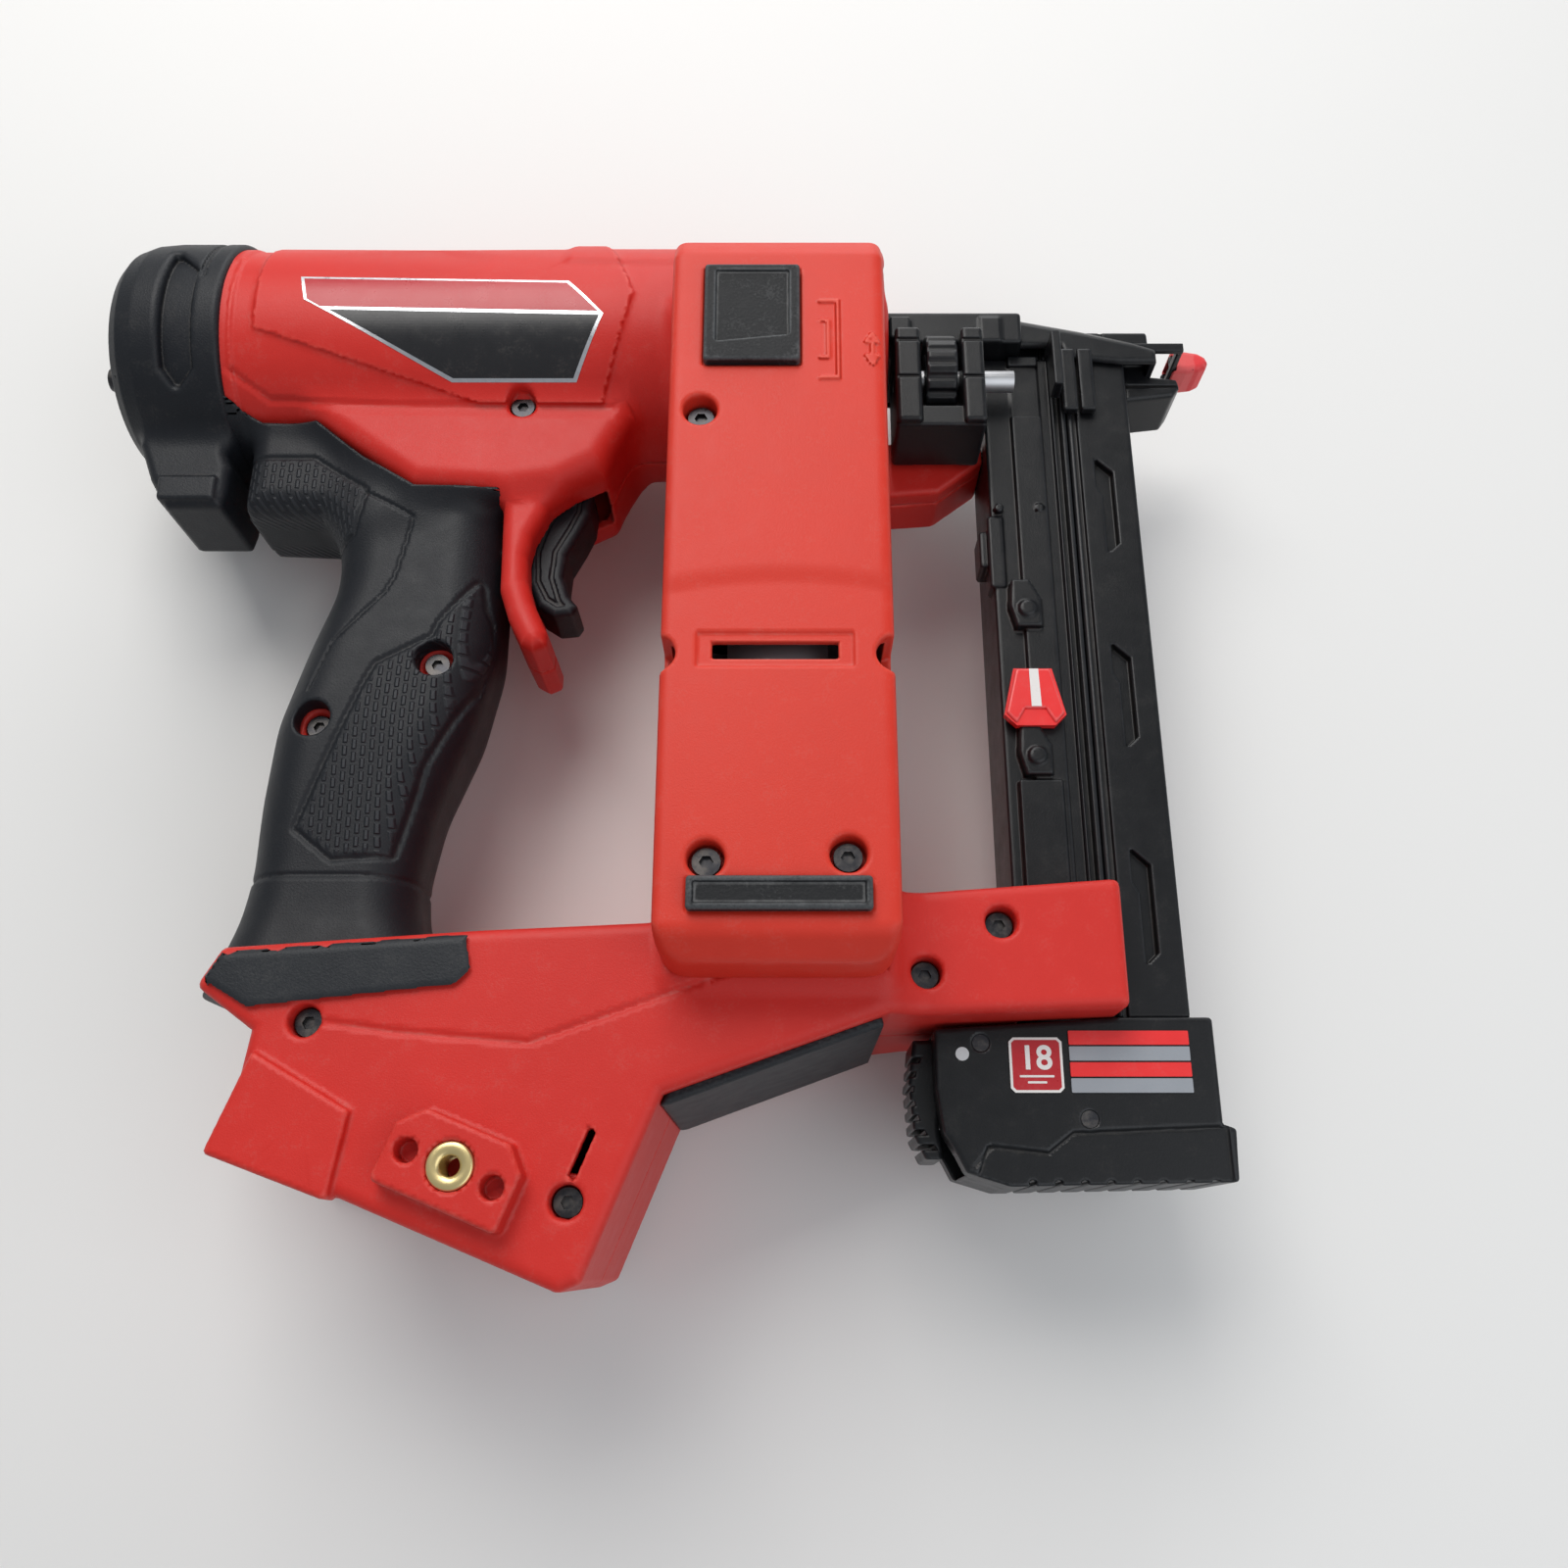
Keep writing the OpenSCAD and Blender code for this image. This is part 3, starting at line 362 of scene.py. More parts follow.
class Graph:
    """A node tree that is filled in a few words a node."""

    def __init__(self, tree: bpy.types.NodeTree) -> None:
        """Takes over a tree."""
        self.tree = tree

    def add(self, kind: str, settings: dict | None = None, **inputs) -> bpy.types.Node:
        """Adds a node.

        Args:
            kind: the node's type.
            settings: properties of the node, such as its operation.
            inputs: values or output sockets by input name, with _ for a space; i0, i1 give inputs by place.

        Returns:
            The node.
        """
        node = self.tree.nodes.new(kind)
        for key, value in (settings or {}).items():
            setattr(node, key, value)
        for key, value in inputs.items():
            socket = node.inputs[int(key[1:])] if key[0] == "i" and key[1:].isdigit() else node.inputs[key.replace("_", " ")]
            if isinstance(value, bpy.types.NodeSocket):
                self.tree.links.new(value, socket)
            else:
                socket.default_value = value
        return node

    def math(self, operation: str, *values, clamp: bool = False) -> bpy.types.NodeSocket:
        """Adds a sum of one to three numbers and returns its output."""
        named = {f"i{n}": v for n, v in enumerate(values)}
        return self.add("ShaderNodeMath", {"operation": operation, "use_clamp": clamp}, **named).outputs[0]

    def ramp(self, value: bpy.types.NodeSocket, low: float, high: float, a: float = 0.0, b: float = 1.0) -> bpy.types.NodeSocket:
        """Carries a number smoothly from the range low..high to a..b."""
        return self.add("ShaderNodeMapRange", {"interpolation_type": "SMOOTHSTEP"}, Value=value, From_Min=low,
                        From_Max=high, To_Min=a, To_Max=b).outputs[0]

    def noise(self, where: bpy.types.NodeSocket, scale: float, detail: float = 3.0, rough: float = 0.5) -> bpy.types.NodeSocket:
        """Adds a noise over the object's own coordinates."""
        return self.add("ShaderNodeTexNoise", None, Vector=where, Scale=scale, Detail=detail, Roughness=rough).outputs["Fac"]

    def mix(self, share, a, b) -> bpy.types.NodeSocket:
        """Mixes two colours."""
        node = self.tree.nodes.new("ShaderNodeMix")
        node.data_type = "RGBA"
        for socket, value in ((node.inputs[0], share), (node.inputs[6], a), (node.inputs[7], b)):
            if isinstance(value, bpy.types.NodeSocket):
                self.tree.links.new(value, socket)
            elif isinstance(value, (int, float)):
                socket.default_value = value
            else:
                socket.default_value = (*value, 1.0) if len(value) == 3 else value
        return node.outputs[2]


class DetailGroups:
    """The shader groups that all finishes share, each built once."""

    @staticmethod
    def open(name: str, inputs: dict[str, tuple[str, object]], outputs: dict[str, str]) -> tuple[bpy.types.NodeTree, Graph]:
        """Makes an empty group with its sockets.

        Args:
            name: the group's name.
            inputs: socket type and starting value by name.
            outputs: socket type by name.
        """
        tree = bpy.data.node_groups.new(name, "ShaderNodeTree")
        for key, (kind, value) in inputs.items():
            socket = tree.interface.new_socket(key, in_out="INPUT", socket_type=kind)
            socket.default_value = value
        for key, kind in outputs.items():
            tree.interface.new_socket(key, in_out="OUTPUT", socket_type=kind)
        return tree, Graph(tree)

    @classmethod
    def moulded(cls) -> bpy.types.NodeTree:
        """Spark-eroded mould grain, uneven colour, rubbed outer edges, dust in corners, and the grip's staggered
        upright dashes, raised where the piece's own panel value is 1."""
        tree = bpy.data.node_groups.get("moulded")
        if tree:
            return tree
        tree, g = cls.open("moulded", {
            "Colour": ("NodeSocketColor", (0.5, 0.5, 0.5, 1)), "Rubbed": ("NodeSocketColor", (0.6, 0.6, 0.6, 1)),
            "Dust": ("NodeSocketColor", (0.6, 0.55, 0.5, 1)), "Roughness": ("NodeSocketFloat", 0.5),
            "Grain": ("NodeSocketFloat", 2500.0), "Wear": ("NodeSocketFloat", 0.3), "Dusty": ("NodeSocketFloat", 0.2),
            "Uneven": ("NodeSocketFloat", 0.12), "Marked": ("NodeSocketFloat", 0.0)},
            {"Base Color": "NodeSocketColor", "Roughness": "NodeSocketFloat", "Height": "NodeSocketFloat", "Dash Height": "NodeSocketFloat"})
        inp = g.add("NodeGroupInput").outputs
        where = g.add("ShaderNodeTexCoord").outputs["Object"]
        edge = g.add("ShaderNodeAttribute", {"attribute_name": "edge"}).outputs["Fac"]
        broad = g.noise(where, 28.0, 4.0, 0.6)
        smudge = g.noise(where, 170.0, 4.0, 0.65)
        speck = g.noise(where, 1500.0, 2.0, 0.6)
        grain = g.noise(where, inp["Grain"], 2.0, 0.55)
        shade = g.math("MULTIPLY_ADD", g.math("SUBTRACT", g.math("ADD", broad, g.math("MULTIPLY", smudge, 0.6)), 0.8),
                       inp["Uneven"], 1.0)
        base = g.add("ShaderNodeVectorMath", {"operation": "SCALE"}, i0=inp["Colour"], Scale=shade).outputs[0]
        outer = g.ramp(g.math("MULTIPLY", edge, g.math("ADD", smudge, speck)), 0.25, 1.1)
        rub = g.math("MULTIPLY", outer, inp["Wear"], clamp=True)
        corner = g.ramp(g.math("MULTIPLY", edge, g.math("MULTIPLY", smudge, -2.0)), 0.25, 1.2)
        lying = g.ramp(g.math("MULTIPLY", smudge, g.math("ADD", speck, 0.35)), 0.44, 0.66, 0.0, 0.35)
        dust = g.math("MULTIPLY", g.math("ADD", corner, lying), inp["Dusty"], clamp=True)
        xyz = g.add("ShaderNodeSeparateXYZ", None, Vector=where).outputs
        panel = g.math("MULTIPLY", g.add("ShaderNodeAttribute", {"attribute_name": "panel"}).outputs["Fac"], inp["Marked"])
        across = g.math("MULTIPLY", g.math("ADD", xyz[0], g.math("MULTIPLY", xyz[2], 0.9)), 430.0)
        up = g.math("ADD", g.math("MULTIPLY", xyz[1], 290.0), g.math("MULTIPLY", g.math("FLOOR", across), 0.5))
        u = g.math("ABSOLUTE", g.math("SUBTRACT", g.math("FRACT", across), 0.5))
        v = g.math("ABSOLUTE", g.math("SUBTRACT", g.math("FRACT", up), 0.5))
        dash = g.math("MULTIPLY", g.math("MULTIPLY", g.ramp(u, 0.12, 0.3, 1.0, 0.0), g.ramp(v, 0.3, 0.44, 1.0, 0.0)), panel)
        colour = g.mix(dust, g.mix(rub, base, inp["Rubbed"]), inp["Dust"])
        colour = g.mix(g.math("MULTIPLY", dash, 0.25), colour, (0.06, 0.065, 0.075, 1))
        rough = g.math("ADD", g.math("MULTIPLY_ADD", g.math("SUBTRACT", smudge, 0.5), 0.22, inp["Roughness"]),
                       g.math("MULTIPLY", rub, -0.08), clamp=True)
        height = g.math("ADD", grain, g.math("MULTIPLY", speck, 0.4))
        g.add("NodeGroupOutput", None, Base_Color=colour, Roughness=rough, Height=height, Dash_Height=dash)
        return tree

    @classmethod
    def metal(cls) -> bpy.types.NodeTree:
        """Drawn or ground metal: fine lines, cloudy stain and darker corners."""
        tree = bpy.data.node_groups.get("metal")
        if tree:
            return tree
        tree, g = cls.open("metal", {
            "Colour": ("NodeSocketColor", (0.5, 0.5, 0.5, 1)), "Stain": ("NodeSocketColor", (0.2, 0.18, 0.16, 1)),
            "Roughness": ("NodeSocketFloat", 0.35), "Line Scale": ("NodeSocketVector", (300.0, 4000.0, 4000.0)),
            "Stained": ("NodeSocketFloat", 0.3)},
            {"Base Color": "NodeSocketColor", "Roughness": "NodeSocketFloat", "Height": "NodeSocketFloat"})
        inp = g.add("NodeGroupInput").outputs
        where = g.add("ShaderNodeTexCoord").outputs["Object"]
        edge = g.add("ShaderNodeAttribute", {"attribute_name": "edge"}).outputs["Fac"]
        drawn = g.add("ShaderNodeVectorMath", {"operation": "MULTIPLY"}, i0=where, i1=inp["Line Scale"]).outputs[0]
        lines = g.noise(drawn, 1.0, 3.0, 0.6)
        cloud = g.noise(where, 260.0, 5.0, 0.65)
        stain = g.math("MULTIPLY", g.ramp(g.math("SUBTRACT", cloud, g.math("MULTIPLY", edge, 0.12)), 0.4, 0.72), inp["Stained"], clamp=True)
        shade = g.math("MULTIPLY_ADD", g.math("SUBTRACT", lines, 0.5), 0.35, 1.0)
        base = g.add("ShaderNodeVectorMath", {"operation": "SCALE"}, i0=inp["Colour"], Scale=shade).outputs[0]
        rough = g.math("ADD", inp["Roughness"], g.math("MULTIPLY", g.math("SUBTRACT", cloud, 0.45), 0.5), clamp=True)
        g.add("NodeGroupOutput", None, Base_Color=g.mix(stain, base, inp["Stain"]), Roughness=rough,
              Height=g.math("ADD", lines, g.math("MULTIPLY", cloud, 0.5)))
        return tree


@dataclass(frozen=True)
class Finish:
    """A finish: what a surface is made of and how used it looks."""

    slot: str
    colour: Colour
    rough: float = 0.5
    rubbed: Colour = (0.6, 0.6, 0.6)
    dust: Colour = (0.35, 0.31, 0.27)
    grain: float = 2400.0
    relief: float = 0.06
    wear: float = 0.25
    dusty: float = 0.15
    uneven: float = 0.14
    specular: float = 0.5
    sheen: float = 0.0
    metallic: bool = False
    lines: tuple[float, float, float] = (300.0, 4000.0, 4000.0)
    stained: float = 0.3
    marked: float = 0.0

    def material(self, name: str) -> bpy.types.Material:
        """Returns the material, built the first time it is asked for."""
        found = bpy.data.materials.get(name)
        if found:
            return found
        material = bpy.data.materials.new(name)
        material.use_nodes = True
        g = Graph(material.node_tree)
        shader = material.node_tree.nodes["Principled BSDF"]
        tree = DetailGroups.metal() if self.metallic else DetailGroups.moulded()
        detail = g.add("ShaderNodeGroup", {"node_tree": tree}, Colour=(*self.colour, 1.0), Roughness=self.rough)
        if self.metallic:
            detail.inputs["Line Scale"].default_value = self.lines
            detail.inputs["Stained"].default_value = self.stained
            shader.inputs["Metallic"].default_value = 1.0
        else:
            for key, value in (("Rubbed", (*self.rubbed, 1.0)), ("Dust", (*self.dust, 1.0)), ("Grain", self.grain),
                               ("Wear", self.wear), ("Dusty", self.dusty), ("Uneven", self.uneven), ("Marked", self.marked)):
                detail.inputs[key].default_value = value
            shader.inputs["Specular IOR Level"].default_value = self.specular
            shader.inputs["Sheen Weight"].default_value = self.sheen
            shader.inputs["Sheen Roughness"].default_value = 0.5
        bump = g.add("ShaderNodeBump", None, Strength=1.0, Distance=self.relief / 1000.0, Height=detail.outputs["Height"])
        if self.marked:
            bump = g.add("ShaderNodeBump", None, Strength=1.0, Distance=0.0004, Height=detail.outputs["Dash Height"],
                         Normal=bump.outputs[0])
        material.node_tree.links.new(detail.outputs["Base Color"], shader.inputs["Base Color"])
        material.node_tree.links.new(detail.outputs["Roughness"], shader.inputs["Roughness"])
        material.node_tree.links.new(bump.outputs[0], shader.inputs["Normal"])
        return material


class Finishes(Enum):
    """Every finish on the tool, by its maker's word for it."""

    SHELL = Finish("red_shell", (0.60, 0.025, 0.018), 0.46, rubbed=(0.80, 0.14, 0.11), grain=2600.0, relief=0.045, wear=0.25, specular=0.3)
    COVER = Finish("orange_red_shell", (0.64, 0.035, 0.018), 0.46, rubbed=(0.82, 0.16, 0.11), grain=2600.0, relief=0.045, wear=0.25,
                   specular=0.3)
    OVERMOLD = Finish("black_overmold", (0.0090, 0.0105, 0.0140), 0.5, rubbed=(0.05, 0.055, 0.06), grain=1900.0, relief=0.07,
                      wear=0.25, dusty=0.07, specular=0.3)
    GRIP = Finish("black_overmold", (0.0085, 0.0098, 0.0130), 0.5, rubbed=(0.045, 0.05, 0.055), grain=1900.0, relief=0.06,
                  wear=0.2, dusty=0.03, specular=0.3, marked=1.0)
    SATIN = Finish("black_plastic", (0.0050, 0.0054, 0.0066), 0.36, rubbed=(0.035, 0.038, 0.042), grain=2600.0, relief=0.03, wear=0.3,
                   dusty=0.04, specular=0.32)
    PAD = Finish("pad_rubber", (0.0085, 0.009, 0.0105), 0.62, rubbed=(0.10, 0.105, 0.11), dust=(0.2, 0.2, 0.2), grain=1400.0,
                 relief=0.12, wear=0.6, dusty=0.4, specular=0.3)
    TIP = Finish("tip_rubber", (0.70, 0.025, 0.03), 0.5, rubbed=(0.8, 0.25, 0.24), grain=1500.0, relief=0.05)
    INDICATOR = Finish("indicator_red", (0.78, 0.02, 0.02), 0.35, rubbed=(0.85, 0.3, 0.3), relief=0.02)
    WHITE = Finish("label", (0.75, 0.74, 0.72), 0.4, rubbed=(0.9, 0.9, 0.9), relief=0.01, wear=0.1, dusty=0.3)
    LABEL_RED = Finish("label", (0.45, 0.012, 0.02), 0.3, rubbed=(0.7, 0.2, 0.2), relief=0.01, wear=0.1)
    LABEL_BLACK = Finish("label", (0.012, 0.012, 0.014), 0.3, rubbed=(0.1, 0.1, 0.1), relief=0.01, wear=0.1)
    LABEL_GREY = Finish("label", (0.28, 0.30, 0.33), 0.35, rubbed=(0.5, 0.5, 0.5), relief=0.01, wear=0.1)
    FOIL = Finish("label", (0.62, 0.63, 0.66), 0.3, metallic=True, lines=(900.0, 900.0, 900.0), stained=0.15, relief=0.004)
    STEEL = Finish("steel", (0.55, 0.55, 0.56), 0.3, metallic=True, relief=0.01)
    DARK_STEEL = Finish("dark_steel", (0.045, 0.045, 0.05), 0.4, metallic=True, relief=0.02)
    SCREW = Finish("screw_steel", (0.05, 0.05, 0.055), 0.34, metallic=True, relief=0.01, stained=0.5)
    SPRING = Finish("spring_steel", (0.45, 0.45, 0.46), 0.3, metallic=True, relief=0.004)
    BRASS = Finish("brass", (0.80, 0.60, 0.24), 0.26, metallic=True, lines=(1500.0, 1500.0, 300.0), stained=0.35, relief=0.012)
    ALLOY = Finish("cast_alloy", (0.50, 0.50, 0.51), 0.45, metallic=True, lines=(1500.0, 1500.0, 1500.0), relief=0.06)
    BOARD = Finish("board", (0.02, 0.12, 0.05), 0.4, rubbed=(0.4, 0.35, 0.2), relief=0.02)
    GREY = Finish("grey_plastic", (0.18, 0.18, 0.19), 0.5, rubbed=(0.35, 0.35, 0.35))
    URETHANE = Finish("urethane", (0.55, 0.42, 0.16), 0.45, rubbed=(0.7, 0.6, 0.3))
    LAMINATION = Finish("lamination", (0.30, 0.30, 0.31), 0.4, metallic=True, lines=(200.0, 5200.0, 200.0), relief=0.05)

    def on(self, obj: bpy.types.Object) -> bpy.types.Object:
        """Dresses a piece in this finish."""
        obj.data.materials.clear()
        obj.data.materials.append(self.value.material(self.name.lower()))
        return obj


# ---------------------------------------------------------------- pieces

@dataclass
class Moulding:
    """A piece drawn from a distance field, in place of one or more CAD nodes.

    It is made in four turns: draw and polish work on arrays alone, so they run side by side, and cast and
    build put the arrays into the scene one after another.
    """

    name: str
    body: str
    nodes: tuple[str, ...]
    finish: Finishes
    low: tuple[float, float, float]
    high: tuple[float, float, float]
    step: float = 1.0
    keep: float = 1.0

    def shape(self, x: Array, y: Array, z: Array) -> Array:
        """Returns the piece's field, negative inside."""
        raise NotImplementedError

    def masks(self, x: Array, y: Array, z: Array) -> dict[str, Array]:
        """Returns numbers a point for the material, by name."""
        return {}

    def draw(self) -> None:
        """Draws the net and marks the points that a thinning may take."""
        self.points, self.faces = net_of(self.shape, self.low, self.high, self.step)
        self.loose = None
        if self.keep < 1.0:
            self.loose = np.abs(flatness(self.shape, self.points, 1.6 * self.step)) < 0.1

    def cast(self) -> None:
        """Puts the net into a mesh object and thins its flats."""
        self.obj = make_object(self.name, self.points, self.faces)
        if self.loose is not None:
            self.points = thin_out(self.obj, self.loose, self.keep)

    def polish(self) -> None:
        """Settles the points and works out shading directions, worn edges and the material's numbers."""
        p = self.points.astype(np.float32)
        if self.loose is not None:
            p = settle(self.shape, p, self.step, 1)
        lean = slope(self.shape, p, 0.3 * self.step)
        self.lean = lean / np.maximum(np.linalg.norm(lean, axis=1), 1e-9)[:, None]
        self.points = p
        self.numbers = {"edge": flatness(self.shape, p, 0.8), **self.masks(p[:, 0], p[:, 1], p[:, 2])}

    def build(self) -> bpy.types.Object:
        """Finishes the mesh, dresses it and lets it ride its body."""
        mesh = self.obj.data
        mesh.vertices.foreach_set("co", TOOL.metres(self.points).astype(np.float32).ravel())
        mesh.shade_smooth()
        mesh.normals_split_custom_set_from_vertices(self.lean.astype(np.float32).tolist())
        for key, values in self.numbers.items():
            put_floats(self.obj, key, values)
        return settle_in(self.obj, self.body, self.nodes, self.finish)


def settle_in(obj: bpy.types.Object, body: str, nodes: Sequence[str], finish: Finishes) -> bpy.types.Object:
    """Dresses a new piece, puts it on its body and takes the place of its CAD nodes."""
    finish.on(obj)
    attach(obj, body)
    if nodes:
        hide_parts(*nodes)
    log.info("%s: %d faces", obj.name, len(obj.data.polygons))
    return obj


@dataclass(frozen=True)
class Sizes:
    """Lengths that several pieces share, in millimetres."""

    barrel_r: float = 33.5
    barrel_back: float = -157.0
    barrel_front: float = 28.0
    wall: float = 2.8
    column: tuple[float, float] = (-29.0, 26.0)
    left: float = -42.0
    right: float = 36.0
    label_tilt: float = 23.0


SIZE = Sizes()
HANDLE = ((-118, -20), (-119, -62), (-118, -78), (-123, -96), (-128, -112), (-130, -130), (-131, -160), (-131, -190), (-92, -190),
          (-96, -168), (-97, -156), (-95, -142), (-91, -124), (-86, -108), (-82.5, -96), (-81, -80), (-80, -56), (-66, -50),
          (-51, -44), (-50, -20))
FOOT = ((-134, -193), (-129, -184), (-71, -180), (-28, -178), (26, -170), (80, -166), (80, -197), (24, -199), (-27, -217),
        (-43, -256.5), (-48, -258.5), (-97, -239), (-123, -228), (-120, -203))
GUSSET = ((20, -18), (57, -22), (57, -36), (44, -46), (20, -48))
HOOK_SEAT = ((-15, 4), (-10, 9), (10, 9), (15, 4), (15, -9), (-15, -9))
CREASE = ((-106, -201), (-88, -203.5), (-57, -206), (-12, -190))
WING = ((-118, -208), (-95, -221), (-98, -240), (-126, -230))
PLATEAU = ((-147, -40), (-55, -40), (-41, -1), (-50, 31), (-85, 31), (-147, 10.5))
BARREL_LINE = ((-154.2, -14), (-154.4, 21), (-143.6, 30), (-112, 31), (-48, 31.6))
FLANK = ((-142, -18), (-133, -29), (-117, -41), (-102, -52), (-76, -54), (-62, -52), (-50, -45), (-42, -30), (-42, -18))
GUARD = ((-79, -30), (-79, -52), (-77.4, -56), (-76.6, -82), (-73.6, -91), (-70, -98), (-66.6, -100), (-63, -98.4), (-63, -94.6),
         (-67, -86), (-69, -79.5), (-69.6, -72), (-68.6, -66), (-64.6, -57), (-59, -51), (-50, -47), (-49, -30))
TRIGGER_ROOM = ((-73, -41), (-51, -41), (-48, -60), (-52, -92), (-63, -93), (-68.5, -91), (-73.5, -86), (-76.6, -78), (-76.4, -66), (-74, -52))
COVER_PROFILE = ((-192, 30), (-192, 52), (-185, 60), (-9, 60), (-3, 56.6), (23.4, 24), (29.5, 14), (21, 13), (0, 30))
COVER_SCREWS = ((-20.5, -56), (-17, -170), (14, -169))
GRIP_SEAM = ((-116, -53), (-101, -61), (-104.6, -79), (-107, -84), (-119, -98), (-124, -112))
WEB = ((-150, -26), (-150, -57), (-128, -58), (-118, -66), (-100, -60), (-80, -44), (-80, -30))
SKIN_OUTLINE = ((-158, -24), (-146, -30.6), (-130.3, -31), (-116, -43), (-101, -52.4), (-78, -52.6), (-76.6, -56), (-60, -110), (-60, -220),
                (-158, -220))
PANEL = ((-81.6, -77.5), (-91.5, -92.5), (-93, -96.5), (-107, -104.5), (-109.5, -110), (-117, -131), (-123, -150), (-113, -158), (-98, -157),
         (-92, -132), (-84, -115), (-76.5, -101), (-78.5, -91), (-80.3, -86.5))
PATCH = ((-149.6, -41.5), (-130.7, -41.5), (-114, -53), (-117, -66), (-133, -72), (-148, -62), (-150.6, -51))
STAPLE_LONG = ((9, -47), (13.5, -47), (13.5, -24), (9, -24))
STAPLE_SHORT = ((9, -41), (11, -41), (11, -30), (9, -30))
ARROW_UP = ((22, -43), (20.5, -40.5), (23.5, -40.5), (22, -43), (22, -34))
ARROW_DOWN = ((22, -34), (20.5, -36.5), (23.5, -36.5), (22, -34))
HOUSING_SCREWS = ((-73, -27, 24), (-92, -103, 17), (-122, -120, 15), (-108, -201, 36), (-47, -240, 36), (51, -177, 30), (33, -189, 30))


def turned(x: Array, y: Array, origin: Sequence[float], degrees: float) -> tuple[Array, Array]:
    """Coordinates in a frame that is turned by some degrees about an origin."""
    c, s = math.cos(math.radians(degrees)), math.sin(math.radians(degrees))
    dx, dy = x - origin[0], y - origin[1]
    return c * dx + s * dy, -s * dx + c * dy


def barrel_field(x: Array, y: Array, z: Array) -> Array:
    """The barrel: a round bar with a flattened crown, a raised step by the gear column and a rim by the cap."""
    bar = extrude(np.hypot(y, z) - SIZE.barrel_r + 0.7, x, SIZE.barrel_back, SIZE.barrel_front, 1.0)
    bar = smooth_max(bar, y - 32.0, 1.5)
    step = extrude(np.hypot(y, z) - SIZE.barrel_r, x, -61.0, SIZE.barrel_front, 1.5)
    step = smooth_max(smooth_max(step, 14.0 - y, 2.0), y - 33.2, 1.0)
    rim = extrude(np.hypot(y, z) - SIZE.barrel_r, x, SIZE.barrel_back, -152.6, 0.8)
    return smooth_min(smooth_min(bar, step, 2.0), rim, 0.8)


def handle_core(x: Array, y: Array, z: Array) -> Array:
    """The hard core of the handle, which the soft skin covers."""
    return extrude(polygon_distance(x, y, HANDLE, 1.5), z, -11.0, 11.0, 4.0)


